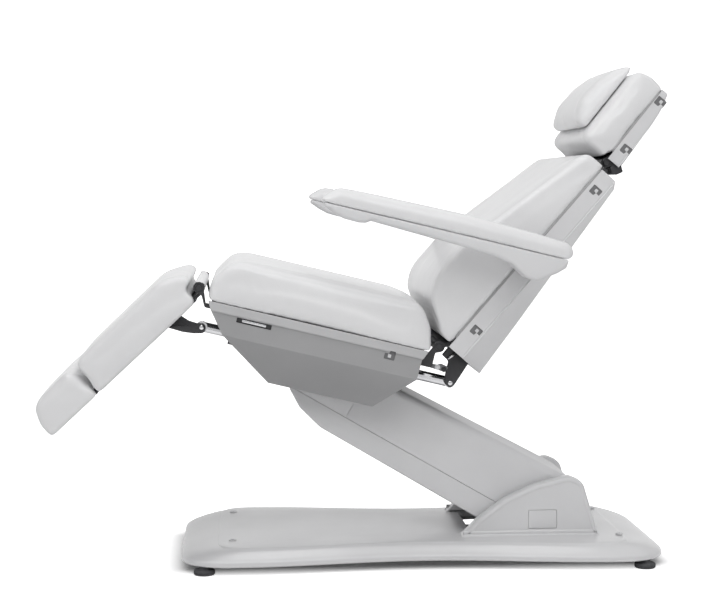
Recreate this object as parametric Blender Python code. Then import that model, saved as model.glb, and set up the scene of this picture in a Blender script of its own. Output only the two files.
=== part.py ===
# Electric facial bed: base, lift arm, seat, back, headrest, leg rest and armrests
import math

import bmesh
import bpy
from mathutils import Vector

for item in list(bpy.data.objects):
    bpy.data.objects.remove(item, do_unlink=True)

# Fits
FIT = 0.0003
PIN_PLAY = 0.0006
RUN_GAP = 0.002

# Angles in degrees as the bed stands
ARM_RISE = 30.0
SEAT_TILT = 13.4
BACK_LEAN = 62.4
LEG_DROP = 56.4
HEAD_LEAN = 2.4

# Base
BASE_LENGTH = 1.130
BASE_WIDTH = 0.546
BASE_WAIST = 0.044
BASE_CENTRE_X = 0.160
BASE_CORNER = 0.120
RIM_LOW = 0.020
RIM_TOP = 0.033
PLATEAU_TOP = 0.064
PLATEAU_END_INSET = 0.085
PLATEAU_SIDE_INSET = 0.024
COVER_WALL = 0.004
FRAME_PLATE = 0.012
FOOT_RADIUS = 0.025
FOOT_HEIGHT = 0.020
FOOT_INSET_X = 0.055
FOOT_INSET_Y = 0.030

# Lift arm and its housings
PIVOT_FROM_END = 0.272
LOWER_PIVOT_X = BASE_CENTRE_X + BASE_LENGTH / 2 - PIVOT_FROM_END
LOWER_PIVOT_Z = 0.122
ARM_LENGTH = 0.600
ARM_END_RADIUS = 0.084
ARM_HALF_WIDTH = 0.124
ARM_WALL = 0.004
ARM_SPLIT_Z = -0.046
CHANNEL_HALF_WIDTH = 0.108
CHANNEL_HALF_DEPTH = 0.032
CHANNEL_WALL = 0.006
PIVOT_RADIUS = 0.014
BRACKET_PLATE = 0.008
CHEEK_WALL = 0.004
CHEEK_DEPTH = 0.036
CHEEK_LENGTH = 0.325
CHEEK_HEIGHT = 0.138
LINK_OFFSET_X = 0.024
LINK_OFFSET_Z = 0.042
LINK_HALF_WIDTH = 0.010
LINK_DEPTH = 0.024
LINK_Y = 0.060
TILT_ABOVE_ARM = 0.092
CARRIAGE_PLATE = 0.008

# Seat
SEAT_LENGTH = 0.525
SEAT_WIDTH = 0.600
SEAT_THICK = 0.104
SEAT_CROWN = 0.009
SEAT_AHEAD = 0.031
SEAT_ABOVE_TILT = 0.0507
BOARD_THICK = 0.016
SKIRT_WALL = 0.004
SKIRT_HALF_WIDTH = 0.290
LIP_HEIGHT = 0.0195
LIP_STEP = 0.005
CREASE_DROP = 0.069
SKIRT_DROP = 0.160
SKIRT_BOTTOM_HALF = 0.203
SLOT_LENGTH = 0.080
SLOT_HEIGHT = 0.0115
SLOT_X = -0.147
SEAT_ROUND = 0.040
SEAT_SIDE_HEIGHT = 0.050
SEAT_REAR_SLOPE = 0.050
SEAT_NOSE_HEIGHT = 0.042
SEAT_NOSE_SLOPE = 0.038
CONTROL_BOX_X = 0.090
CONTROL_BOX_LENGTH = 0.110
CONTROL_BOX_Y = 0.130
CONTROL_BOX_WIDTH = 0.090
CONTROL_BOX_HEIGHT = 0.040

# Back, headrest and pillow
BACK_PIVOT_X = 0.2765
BACK_PIVOT_Z = 0.0130
BACK_LENGTH = 0.555
BACK_WIDTH = 0.590
BACK_FOOT = 0.068
BACK_LUMBAR = 0.1150
BACK_TOP_THICK = 0.050
BACK_SEAM = -0.010
SHELL_BAND = 0.044
SHELL_BULGE = 0.048
SHELL_WALL = 0.004
HEAD_PIVOT_X = 0.575
HEAD_PIVOT_Z = -0.022
HEAD_LENGTH = 0.220
HEAD_WIDTH = 0.430
HEAD_THICK = 0.077
HEAD_SEAM = 0.0065
HEAD_SHELL_DEPTH = 0.042
PILLOW_WIDTH = 0.340
PILLOW_THICK = 0.057

# Leg rest
LEG_PIVOT_X = -0.2855
LEG_PIVOT_Z = 0.020
LEG_LENGTH = 0.325
LEG_WIDTH = 0.590
LEG_THICK = 0.072
FOOT_LENGTH = 0.144
FOOT_SEAM = 0.003
LEG_BOARD = 0.011

# Levers and drives
LEVER_REACH = 0.093
LEVER_PLATE = 0.010
LEVER_Y = -0.204
LEVER_END = 0.012
ROD_RADIUS = 0.012
TUBE_BORE = 0.0230
TUBE_WALL = 0.0035
DRIVE_PIN = 0.006
DRIVE_EYE = 0.013
AXLE_RADIUS = 0.008
KNUCKLE_RADIUS = 0.0125
LUG_LENGTH = 0.075
LUG_HEEL = 0.0225
KNUCKLE_HALF_SPAN = 0.236

# Armrests
ARMREST_PIVOT_X = 0.272
ARMREST_PIVOT_Z = -0.028
ARMREST_LENGTH = 0.574
ARMREST_BEHIND = 0.076
ARMREST_WIDTH = 0.082
ARMREST_GAP = 0.030
PAD_SEAM = 0.032
PAD_THICK = 0.041
TRAY_LOW = 0.004
HUB_RADIUS = 0.029


def material(name, colour, roughness, metallic=0.0):
    result = bpy.data.materials.new(name)
    result.use_nodes = True
    shader = result.node_tree.nodes["Principled BSDF"]
    shader.inputs["Base Color"].default_value = (*colour, 1.0)
    shader.inputs["Roughness"].default_value = roughness
    shader.inputs["Metallic"].default_value = metallic
    return result


LEATHER = material("white_leather", (0.86, 0.86, 0.87), 0.45)
PLASTIC = material("pale_plastic", (0.78, 0.78, 0.80), 0.35)
STEEL = material("dark_steel", (0.07, 0.07, 0.08), 0.45, 0.8)
CHROME = material("chrome", (0.75, 0.75, 0.77), 0.15, 1.0)
RUBBER = material("grey_rubber", (0.22, 0.22, 0.23), 0.8)


# Frames and nodes
def frame(name, parent, x, z, turn=0.0, y=0.0):
    empty = bpy.data.objects.new(name, None)
    bpy.context.collection.objects.link(empty)
    empty.parent = parent
    empty.location = (x, y, z)
    empty.rotation_euler = (0.0, math.radians(turn), 0.0)
    return empty


def node(name, mesh, parent, skin):
    result = bpy.data.objects.new(name, mesh)
    bpy.context.collection.objects.link(result)
    result.parent = parent
    mesh.materials.append(skin)
    mesh.shade_smooth()
    mesh.set_sharp_from_angle(angle=math.radians(40.0))
    return result


def combine(target, mesh, operation):
    # A hidden tool solid in the target's own frame, added to it or taken from it
    tool = bpy.data.objects.new(target.name + "_tool", mesh)
    bpy.context.collection.objects.link(tool)
    tool.parent = target
    tool.hide_render = True
    tool.display_type = "WIRE"
    step = target.modifiers.new(operation.lower(), "BOOLEAN")
    step.operation = operation
    step.object = tool
    step.solver = "EXACT"


def add(target, mesh):
    combine(target, mesh, "UNION")


def cut(target, mesh):
    combine(target, mesh, "DIFFERENCE")


def bevel(target, width, segments=2, angle=40.0):
    step = target.modifiers.new("bevel", "BEVEL")
    step.width = width
    step.segments = segments
    step.limit_method = "ANGLE"
    step.angle_limit = math.radians(angle)
    step.harden_normals = False


# Meshes
def solid(points, faces):
    mesh = bpy.data.meshes.new("solid")
    shape = bmesh.new()
    corners = [shape.verts.new(point) for point in points]
    for face in faces:
        shape.faces.new([corners[index] for index in face])
    bmesh.ops.recalc_face_normals(shape, faces=shape.faces)
    shape.to_mesh(mesh)
    shape.free()
    return mesh


def loft(rings):
    # Closed skin through rings of equal count, with flat ends
    count = len(rings[0])
    points = [point for ring in rings for point in ring]
    faces = [list(range(count)), list(range(len(points) - count, len(points)))]
    for row in range(len(rings) - 1):
        for column in range(count):
            after = (column + 1) % count
            low = row * count
            faces.append((low + column, low + after, low + count + after, low + count + column))
    return solid(points, faces)


def side_prism(outline, y_low, y_high):
    # Outline in x and z, carried across in y
    return loft([[(x, y, z) for x, z in outline] for y in (y_low, y_high)])


def plan_prism(outline, z_low, z_high):
    return loft([[(x, y, z) for x, y in outline] for z in (z_low, z_high)])


def circle(x, z, radius, sides=14):
    turns = [2.0 * math.pi * (step + 0.5) / sides for step in range(sides)]
    return [(x + radius * math.cos(turn), z + radius * math.sin(turn)) for turn in turns]


def cross_rod(x, z, radius, y_low, y_high, sides=14):
    return side_prism(circle(x, z, radius, sides), y_low, y_high)


def hole(x, z, radius, y_low, y_high, sides=14):
    # Round cutter whose flats clear the radius
    return cross_rod(x, z, radius / math.cos(math.pi / sides), y_low, y_high, sides)


def long_rod(x_low, x_high, y, z, radius, sides=14):
    return loft([[(x, y + a, z + b) for a, b in circle(0.0, 0.0, radius, sides)] for x in (x_low, x_high)])


def box(x_low, x_high, y_low, y_high, z_low, z_high):
    return side_prism([(x_low, z_low), (x_high, z_low), (x_high, z_high), (x_low, z_high)], y_low, y_high)


def rounded(corners, steps=3):
    # Polygon whose corners (x, z, radius) become arcs
    outline = []
    for index, (x, z, radius) in enumerate(corners):
        here = Vector((x, z))
        back = Vector(corners[index - 1][:2]) - here
        ahead = Vector(corners[(index + 1) % len(corners)][:2]) - here
        if radius <= 0.0:
            outline.append((x, z))
            continue
        half = back.angle(ahead) / 2.0
        reach = min(radius / math.tan(half), 0.49 * back.length, 0.49 * ahead.length)
        start = here + back.normalized() * reach
        end = here + ahead.normalized() * reach
        for step in range(steps + 1):
            share = step / steps
            # Quadratic curve from tangent point to tangent point through the corner
            point = start * (1 - share) ** 2 + here * 2 * share * (1 - share) + end * share ** 2
            outline.append((point.x, point.y))
    return outline


def moved_in(outline, amount):
    # Outline drawn in along the normal at each of its points
    area = sum(a[0] * b[1] - b[0] * a[1] for a, b in zip(outline, outline[1:] + outline[:1]))
    side = 1.0 if area > 0 else -1.0
    result = []
    for index, point in enumerate(outline):
        before = Vector(outline[index - 1])
        after = Vector(outline[(index + 1) % len(outline)])
        along = (after - before).normalized()
        result.append((point[0] - side * along.y * amount, point[1] + side * along.x * amount))
    return result


def cushion(outline, half_width, edge, crown, dish=0.004, rounds=3):
    # Side outline carried across the width: top edges turned by a quarter round, top crowned, ends dished
    low = min(z for x, z in outline)
    high = max(z for x, z in outline)
    left = min(x for x, z in outline)
    right = max(x for x, z in outline)
    middle = (left + right) / 2
    stations = [(half_width - dish, edge + 1.5 * dish)]
    for step in range(rounds + 1):
        turn = 0.5 * math.pi * (1.0 - step / rounds)
        stations.append((half_width - edge + edge * math.sin(turn), edge * (1.0 - math.cos(turn))))
    flat = half_width - edge
    stations += [(flat * 0.66, 0.0), (flat * 0.33, 0.0)]
    mirrored = [(-y, inset) for y, inset in stations]
    rings = []
    for y, inset in mirrored + [(0.0, 0.0)] + stations[::-1]:
        rise = crown * (1.0 - (y / half_width) ** 2)
        ring = []
        for x, z in outline:
            up = (z - low) / (high - low)
            shrink = 1.0 - 2.0 * inset * min(1.0, 0.2 + 2.0 * up) / (right - left)
            ring.append((middle + (x - middle) * shrink, y, low + up * (high - low - inset) + rise * up ** 2))
        rings.append(ring)
    return loft(rings)


# Places of the moving groups, each with its origin on its own axis
base = frame("base_place", None, 0.0, 0.0)
arm = frame("arm_axis", base, LOWER_PIVOT_X, LOWER_PIVOT_Z, ARM_RISE)
carriage = frame("carriage_axis", arm, -ARM_LENGTH, 0.0, -ARM_RISE)
tilt = frame("tilt_axis", carriage, 0.0, TILT_ABOVE_ARM, SEAT_TILT)
seat = frame("seat_datum", tilt, -SEAT_AHEAD, SEAT_ABOVE_TILT)
back = frame("back_axis", seat, BACK_PIVOT_X, BACK_PIVOT_Z, -BACK_LEAN)
head = frame("head_axis", back, HEAD_PIVOT_X, HEAD_PIVOT_Z, -HEAD_LEAN)
leg = frame("leg_axis", seat, LEG_PIVOT_X, LEG_PIVOT_Z, -LEG_DROP)
TILT_X = SEAT_AHEAD
TILT_Z = -SEAT_ABOVE_TILT


# Base frame, feet and cover
def base_ring(end_inset, side_inset, z):
    # Rounded rectangle whose long sides are drawn in to a waist
    x_half = BASE_LENGTH / 2 - end_inset
    y_half = BASE_WIDTH / 2 - side_inset
    corner = BASE_CORNER - 0.5 * end_inset
    corners = [(sx * x_half, sy * y_half, corner) for sx, sy in ((-1, -1), (1, -1), (1, 1), (-1, 1))]
    straight = x_half - corner
    run = [straight * step / 4 for step in range(-3, 4)]
    waist = [(x, y_half - BASE_WAIST * math.cos(0.5 * math.pi * x / straight) ** 2) for x in run]
    arcs = rounded(corners, 7)
    quarter = len(arcs) // 4
    ring = arcs[:quarter] + [(x, -y) for x, y in waist] + arcs[quarter:3 * quarter] + waist[::-1] + arcs[3 * quarter:]
    return [(BASE_CENTRE_X + x, y, z) for x, y in ring]


def base_cover():
    shoulder = 0.008
    outer = [(0.0, 0.0, RIM_LOW), (0.003, 0.003, RIM_TOP), (0.014, 0.010, RIM_TOP + shoulder),
             (PLATEAU_END_INSET, PLATEAU_SIDE_INSET, PLATEAU_TOP - 0.003),
             (PLATEAU_END_INSET + shoulder, PLATEAU_SIDE_INSET + shoulder, PLATEAU_TOP)]
    rings = [base_ring(end + COVER_WALL, side + COVER_WALL, z - COVER_WALL) for end, side, z in reversed(outer[1:])]
    rings.append(base_ring(COVER_WALL, COVER_WALL, RIM_LOW))
    rings += [base_ring(end, side, z) for end, side, z in outer]
    cover = node("base_cover", loft(rings), base, PLASTIC)
    well_low = LOWER_PIVOT_X - ARM_END_RADIUS - 0.090
    well_high = LOWER_PIVOT_X + ARM_END_RADIUS + 0.010
    well_half = ARM_HALF_WIDTH + RUN_GAP
    cut(cover, box(well_low, well_high, -well_half, well_half, RIM_LOW, PLATEAU_TOP + COVER_WALL))


FRAME_LOW = FOOT_HEIGHT + FIT
FRAME_TOP = FRAME_LOW + FRAME_PLATE
FOOT_X = BASE_LENGTH / 2 - FOOT_INSET_X
FOOT_Y = BASE_WIDTH / 2 - FOOT_INSET_Y
SPINE_HALF = 0.120
BAR_HALF = FOOT_RADIUS + 0.006


def base_frame():
    # Flat plate shaped like an H on its side: a spine between two cross bars over the feet
    x_end = FOOT_X + 0.016
    x_in = FOOT_X - BAR_HALF
    y_end = FOOT_Y + 0.010
    cut_off = 0.034
    quarter = [(x_end, y_end - cut_off), (x_end - cut_off, y_end), (x_in, y_end), (x_in, SPINE_HALF)]
    half = [(x, -y) for x, y in reversed(quarter)] + quarter
    outline = half + [(-x, -y) for x, y in half]
    outline = [(BASE_CENTRE_X + x, y) for x, y in outline]
    plate = node("base_frame", plan_prism(outline, FRAME_LOW, FRAME_TOP), base, STEEL)
    post_top = PLATEAU_TOP - COVER_WALL - FIT
    for x in (BASE_CENTRE_X - 0.40, BASE_CENTRE_X - 0.10, BASE_CENTRE_X + 0.44):
        for y in (-0.09, 0.09):
            ring = [(x + a, y + b) for a, b in circle(0.0, 0.0, 0.012, 12)]
            add(plate, plan_prism(ring, FRAME_TOP - 0.004, post_top))


def levelling_foot(name, x, y):
    profile = [(0.70, 0.0), (0.94, 0.002), (1.0, 0.007), (0.96, 0.012), (0.55, 0.015), (0.50, FOOT_HEIGHT)]
    rings = [[(x + a * share, y + b * share, z) for a, b in circle(0.0, 0.0, FOOT_RADIUS, 18)]
             for share, z in profile]
    node(name, loft(rings), base, RUBBER)


BRACKET_IN = CHANNEL_HALF_WIDTH + FIT
BRACKET_OUT = BRACKET_IN + BRACKET_PLATE
LIFT_EYE_DROP = 0.056


def pivot_bracket():
    low = FRAME_TOP + FIT
    floor = low + BRACKET_PLATE
    reach = 0.075
    bracket = node("pivot_bracket", box(LOWER_PIVOT_X - reach, LOWER_PIVOT_X + reach, -BRACKET_OUT, BRACKET_OUT,
                                        low, floor), base, STEEL)
    top_x = LOWER_PIVOT_X + LINK_OFFSET_X
    top_z = LOWER_PIVOT_Z + LINK_OFFSET_Z
    outline = rounded([(LOWER_PIVOT_X - 0.045, low, 0.0), (LOWER_PIVOT_X + 0.055, low, 0.0),
                       (top_x + 0.018, top_z + 0.014, 0.016), (top_x - 0.016, top_z + 0.016, 0.016),
                       (LOWER_PIVOT_X - 0.028, LOWER_PIVOT_Z + 0.020, 0.020)])
    for y_low, y_high in ((-BRACKET_OUT, -BRACKET_IN), (BRACKET_IN, BRACKET_OUT)):
        add(bracket, side_prism(outline, y_low, y_high))
    for x, z, radius in ((LOWER_PIVOT_X, LOWER_PIVOT_Z, PIVOT_RADIUS), (top_x, top_z, AXLE_RADIUS)):
        cut(bracket, hole(x, z, radius + PIN_PLAY, -BRACKET_OUT - 0.01, BRACKET_OUT + 0.01))
    eye_z = LOWER_PIVOT_Z - LIFT_EYE_DROP
    add(bracket, cross_rod(LOWER_PIVOT_X, eye_z, DRIVE_PIN, -BRACKET_IN - 0.004, BRACKET_IN + 0.004, 10))


CHEEK_IN = ARM_HALF_WIDTH + 0.006
CHEEK_OUT = CHEEK_IN + CHEEK_DEPTH


def cheek_outline(inset=0.0):
    # Sloped arch seen from the side: long front ramp, blunt top, steep rear
    low = PLATEAU_TOP + FIT
    front = LOWER_PIVOT_X + 0.124 - CHEEK_LENGTH
    rear = LOWER_PIVOT_X + 0.124
    top = low + CHEEK_HEIGHT
    corners = [(front, low, 0.0), (rear, low, 0.0), (rear - 0.038, top - 0.014, 0.030), (rear - 0.070, top, 0.030),
               (rear - 0.152, top - 0.020, 0.080), (rear - 0.224, top - 0.053, 0.080),
               (front + 0.040, low + 0.040, 0.040)]
    return moved_in(rounded(corners, 3), inset)


HATCH_LENGTH = 0.068
HATCH_HEIGHT = 0.044
HATCH_DEPTH = 0.0025


def cheek(name, hatch_name, side):
    span = sorted((side * CHEEK_IN, side * CHEEK_OUT))
    shell = node(name, side_prism(cheek_outline(), *span), base, PLASTIC)
    bevel(shell, 0.006, 2, 60.0)
    hollow = sorted((side * (CHEEK_IN - 0.010), side * (CHEEK_OUT - CHEEK_WALL - HATCH_DEPTH)))
    cut(shell, side_prism(moved_in(cheek_outline(), CHEEK_WALL + 0.004), *hollow))
    x_low = LOWER_PIVOT_X - 0.044
    z_low = PLATEAU_TOP + 0.015
    x_high = x_low + HATCH_LENGTH
    z_high = z_low + HATCH_HEIGHT
    recess = sorted((side * (CHEEK_OUT - HATCH_DEPTH), side * (CHEEK_OUT + 0.01)))
    cut(shell, box(x_low, x_high, *recess, z_low, z_high))
    plate = sorted((side * (CHEEK_OUT - HATCH_DEPTH + FIT), side * CHEEK_OUT))
    gap = 0.0006
    node(hatch_name, box(x_low + gap, x_high - gap, *plate, z_low + gap, z_high - gap), base, PLASTIC)


base_frame()
base_cover()
for end_name, end in (("foot", -1), ("head", 1)):
    for side_name, side in (("near", -1), ("far", 1)):
        levelling_foot(f"levelling_foot_{end_name}_{side_name}", BASE_CENTRE_X + end * FOOT_X, side * FOOT_Y)
pivot_bracket()
cheek("cheek_near", "access_hatch_near", -1)
cheek("cheek_far", "access_hatch_far", 1)
node("arm_pin_lower", cross_rod(LOWER_PIVOT_X, LOWER_PIVOT_Z, PIVOT_RADIUS, -BRACKET_OUT, BRACKET_OUT), base, CHROME)
node("link_pin_lower", cross_rod(LOWER_PIVOT_X + LINK_OFFSET_X, LOWER_PIVOT_Z + LINK_OFFSET_Z, AXLE_RADIUS,
                                 -BRACKET_OUT, BRACKET_OUT), base, CHROME)


# Lift arm, its covers, the levelling link and the carriage
ARM_FRONT = -ARM_LENGTH - ARM_END_RADIUS
COVER_IN = ARM_HALF_WIDTH - ARM_WALL
LOWER_COVER_REAR = -0.130
EAR_TOP = 0.030
REAR_WALL_LOW = 0.058
OPEN_FRONT = -ARM_LENGTH + ARM_END_RADIUS


def arm_outline():
    # Deeper at the base end, round at the carriage end
    return rounded([(0.062, -0.070, 0.030), (0.070, 0.055, 0.040), (0.030, 0.091, 0.040),
                    (-ARM_LENGTH - 0.020, 0.066, 0.060), (ARM_FRONT, 0.030, 0.030), (ARM_FRONT, -0.040, 0.030),
                    (-ARM_LENGTH - 0.050, -0.078, 0.040), (-ARM_LENGTH + 0.020, -0.0965, 0.050),
                    (LOWER_COVER_REAR, -0.101, 0.0)], 4)


def arm_cover(name):
    shell = node(name, side_prism(arm_outline(), -ARM_HALF_WIDTH, ARM_HALF_WIDTH), arm, PLASTIC)
    bevel(shell, 0.010, 2, 60.0)
    cut(shell, side_prism(moved_in(arm_outline(), ARM_WALL + 0.002), -COVER_IN, COVER_IN))
    return shell


def lift_arm():
    overhang = 0.030
    x_low = -ARM_LENGTH - overhang
    wide = CHANNEL_HALF_WIDTH
    deep = CHANNEL_HALF_DEPTH
    inner = wide - CHANNEL_WALL
    channel = node("lift_arm", box(x_low, overhang, -wide, wide, -deep, deep), arm, STEEL)
    cut(channel, box(x_low - 0.01, overhang + 0.01, -inner, inner, -deep - 0.01, deep - CHANNEL_WALL))
    for x in (-0.40, -0.22):
        for side in (-1, 1):
            span = sorted((side * (wide - 0.003), side * (COVER_IN - FIT)))
            add(channel, box(x - 0.02, x + 0.02, *span, ARM_SPLIT_Z - 0.016, EAR_TOP))
    for x in (0.0, -ARM_LENGTH):
        cut(channel, hole(x, 0.0, PIVOT_RADIUS + PIN_PLAY, -wide - 0.02, wide + 0.02))


lift_arm()
upper = arm_cover("arm_cover_upper")
cut(upper, box(ARM_FRONT - 0.1, 0.2, -0.2, 0.2, -0.2, ARM_SPLIT_Z))
cut(upper, box(ARM_FRONT - 0.1, OPEN_FRONT, -0.2, 0.2, EAR_TOP, 0.2))
cut(upper, box(-0.060, 0.2, -COVER_IN, COVER_IN, -0.2, REAR_WALL_LOW))
lower = arm_cover("arm_cover_lower")
cut(lower, box(ARM_FRONT - 0.1, 0.2, -0.2, 0.2, ARM_SPLIT_Z - FIT, 0.2))
cut(lower, box(LOWER_COVER_REAR, 0.2, -0.2, 0.2, -0.2, 0.2))

link = frame("link_axis", base, LOWER_PIVOT_X + LINK_OFFSET_X, LOWER_PIVOT_Z + LINK_OFFSET_Z, ARM_RISE)
link_half = LINK_DEPTH / 2
link_outline = rounded([(link_half, -link_half, link_half), (link_half, link_half, link_half),
                        (-ARM_LENGTH - link_half, link_half, link_half),
                        (-ARM_LENGTH - link_half, -link_half, link_half)], 5)
level_link = node("level_link", side_prism(link_outline, LINK_Y - LINK_HALF_WIDTH, LINK_Y + LINK_HALF_WIDTH),
                  link, STEEL)
for x in (0.0, -ARM_LENGTH):
    cut(level_link, hole(x, 0.0, AXLE_RADIUS + FIT, LINK_Y - 0.05, LINK_Y + 0.05))

TILT_RADIUS = 0.010
FORK_IN = ROD_RADIUS + 0.0007
FORK_OUT = FORK_IN + 0.006
TILT_EYE_X = -0.092
TILT_EYE_Z = 0.060
CROSSBAR_LOW = TILT_ABOVE_ARM + TILT_RADIUS + 0.004
CROSSBAR_TOP = CROSSBAR_LOW + 0.008


def carriage_body():
    inner = BRACKET_IN
    outer = BRACKET_OUT
    body = node("carriage", box(-0.018, 0.018, -outer, outer, CROSSBAR_LOW, CROSSBAR_TOP), carriage, STEEL)
    outline = rounded([(-0.020, -0.020, 0.020), (0.018, -0.022, 0.020), (LINK_OFFSET_X + 0.016, LINK_OFFSET_Z, 0.014),
                       (0.020, CROSSBAR_TOP, 0.008), (-0.020, CROSSBAR_TOP, 0.008)], 2)
    for side in (-1, 1):
        add(body, side_prism(outline, *sorted((side * inner, side * outer))))
    nose = rounded([(0.016, CROSSBAR_LOW + 0.001, 0.0), (0.016, CROSSBAR_TOP - 0.001, 0.0),
                    (-0.040, CROSSBAR_TOP - 0.001, 0.010), (TILT_EYE_X - 0.010, TILT_EYE_Z + 0.016, 0.010),
                    (TILT_EYE_X - 0.012, TILT_EYE_Z - 0.010, 0.010), (TILT_EYE_X + 0.012, TILT_EYE_Z - 0.010, 0.010),
                    (-0.018, CROSSBAR_LOW + 0.001, 0.0)], 2)
    for side in (-1, 1):
        add(body, side_prism(nose, *sorted((side * FORK_IN, side * FORK_OUT))))
    add(body, cross_rod(TILT_EYE_X, TILT_EYE_Z, DRIVE_PIN, -FORK_IN - 0.003, FORK_IN + 0.003, 10))
    for x, z, radius in ((0.0, 0.0, PIVOT_RADIUS), (LINK_OFFSET_X, LINK_OFFSET_Z, AXLE_RADIUS),
                         (0.0, TILT_ABOVE_ARM, TILT_RADIUS)):
        cut(body, hole(x, z, radius + PIN_PLAY, -outer - 0.01, outer + 0.01))


TILT_LUG_IN = BRACKET_OUT + FIT
TILT_LUG_OUT = TILT_LUG_IN + CARRIAGE_PLATE
carriage_body()
node("arm_pin_upper", cross_rod(0.0, 0.0, PIVOT_RADIUS, -BRACKET_OUT, BRACKET_OUT), carriage, CHROME)
node("link_pin_upper", cross_rod(LINK_OFFSET_X, LINK_OFFSET_Z, AXLE_RADIUS, -BRACKET_OUT, BRACKET_OUT),
     carriage, CHROME)
node("tilt_pin", cross_rod(0.0, TILT_ABOVE_ARM, TILT_RADIUS, -TILT_LUG_OUT, TILT_LUG_OUT), carriage, CHROME)


# Seat frame, skirts and cushion
BOARD_TOP = -FIT
BOARD_LOW = BOARD_TOP - BOARD_THICK
BOARD_HALF = SKIRT_HALF_WIDTH - SKIRT_WALL - FIT
SEAT_FRONT = -SEAT_LENGTH / 2 - 0.006
SEAT_REAR = SEAT_FRONT + SEAT_LENGTH
HINGE_IN = KNUCKLE_HALF_SPAN + FIT
HINGE_OUT = HINGE_IN + 0.010
DRIVE_Y = LEVER_Y + LEVER_PLATE / 2 + ROD_RADIUS + 0.001
MOUNT_Y = DRIVE_Y + 0.0105
LEG_MOUNT = (-0.024, -0.068)
BACK_MOUNT = (0.040, -0.066)
TILT_LUG = (-0.200, -0.034)


def hinge_lug(pivot_x, pivot_z, root_x, drop, reach):
    # Plate rising from under the board, past the end of the cushion, to a pivot
    way = 1.0 if pivot_x > 0 else -1.0
    low = BOARD_LOW - drop
    eye = KNUCKLE_RADIUS
    return rounded([(root_x, BOARD_LOW + 0.006, 0.0), (root_x, low, 0.003), (pivot_x - way * reach, low, 0.006),
                    (pivot_x - way * min(reach, 0.010), pivot_z - 0.016, 0.004),
                    (pivot_x + way * eye, pivot_z - eye * 0.7, 0.010), (pivot_x + way * eye, pivot_z + eye, 0.011),
                    (pivot_x - way * eye, pivot_z + eye, 0.011), (pivot_x - way * eye, pivot_z - 0.004, 0.004),
                    (pivot_x - way * LUG_HEEL, BOARD_LOW + 0.006, 0.0)], 2)


def seat_frame():
    body = node("seat_frame", box(SEAT_FRONT + 0.018, SEAT_REAR - 0.016, -BOARD_HALF, BOARD_HALF, BOARD_LOW,
                                  BOARD_TOP), seat, STEEL)
    tilt_plate = rounded([(TILT_X - 0.034, BOARD_LOW + 0.004, 0.0), (TILT_X + 0.034, BOARD_LOW + 0.004, 0.0),
                          (TILT_X + 0.018, TILT_Z - 0.016, 0.014), (TILT_X - 0.018, TILT_Z - 0.016, 0.014)], 2)
    back_plate = hinge_lug(BACK_PIVOT_X, BACK_PIVOT_Z, BACK_PIVOT_X - LUG_LENGTH, 0.022, 0.0055)
    leg_plate = hinge_lug(LEG_PIVOT_X, LEG_PIVOT_Z, LEG_PIVOT_X + LUG_LENGTH, 0.004, 0.022)
    for side in (-1, 1):
        add(body, side_prism(tilt_plate, *sorted((side * TILT_LUG_IN, side * TILT_LUG_OUT))))
        add(body, side_prism(back_plate, *sorted((side * HINGE_IN, side * HINGE_OUT))))
        add(body, side_prism(leg_plate, *sorted((side * HINGE_IN, side * HINGE_OUT))))
    mount = rounded([(LEG_MOUNT[0] - 0.030, BOARD_LOW + 0.004, 0.0), (BACK_MOUNT[0] + 0.030, BOARD_LOW + 0.004, 0.0),
                     (BACK_MOUNT[0] + 0.013, BACK_MOUNT[1] - 0.014, 0.012),
                     (LEG_MOUNT[0] - 0.013, LEG_MOUNT[1] - 0.014, 0.012)], 2)
    add(body, side_prism(mount, MOUNT_Y, MOUNT_Y + 0.008))
    for x, z in (LEG_MOUNT, BACK_MOUNT):
        add(body, cross_rod(x, z, DRIVE_PIN, DRIVE_Y - 0.0095, MOUNT_Y + 0.004, 10))
    ear = rounded([(TILT_LUG[0] - 0.016, BOARD_LOW + 0.004, 0.0), (TILT_LUG[0] + 0.016, BOARD_LOW + 0.004, 0.0),
                   (TILT_LUG[0] + 0.011, TILT_LUG[1] - 0.011, 0.010),
                   (TILT_LUG[0] - 0.011, TILT_LUG[1] - 0.011, 0.010)], 2)
    for side in (-1, 1):
        add(body, side_prism(ear, *sorted((side * FORK_IN, side * FORK_OUT))))
    add(body, cross_rod(*TILT_LUG, DRIVE_PIN, -FORK_IN - 0.003, FORK_IN + 0.003, 10))
    for x, z, radius in ((TILT_X, TILT_Z, TILT_RADIUS), (BACK_PIVOT_X, BACK_PIVOT_Z, AXLE_RADIUS),
                         (LEG_PIVOT_X, LEG_PIVOT_Z, AXLE_RADIUS)):
        cut(body, hole(x, z, radius + PIN_PLAY, -HINGE_OUT - 0.01, HINGE_OUT + 0.01))


# Side levels of the skirt: height, outer half width, front end, rear end
SKIRT_LEVELS = [
    (BOARD_TOP, SKIRT_HALF_WIDTH, SEAT_FRONT + 0.010, SEAT_REAR - 0.006),
    (-LIP_HEIGHT, SKIRT_HALF_WIDTH, SEAT_FRONT + 0.020, SEAT_REAR - 0.014),
    (-LIP_HEIGHT - 0.003, SKIRT_HALF_WIDTH - LIP_STEP, SEAT_FRONT + 0.022, SEAT_REAR - 0.016),
    (-CREASE_DROP, SKIRT_HALF_WIDTH - LIP_STEP, SEAT_FRONT + 0.058, SEAT_REAR - 0.017),
    (-SKIRT_DROP, SKIRT_BOTTOM_HALF, SEAT_FRONT + 0.185, SEAT_REAR - 0.093),
]


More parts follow.
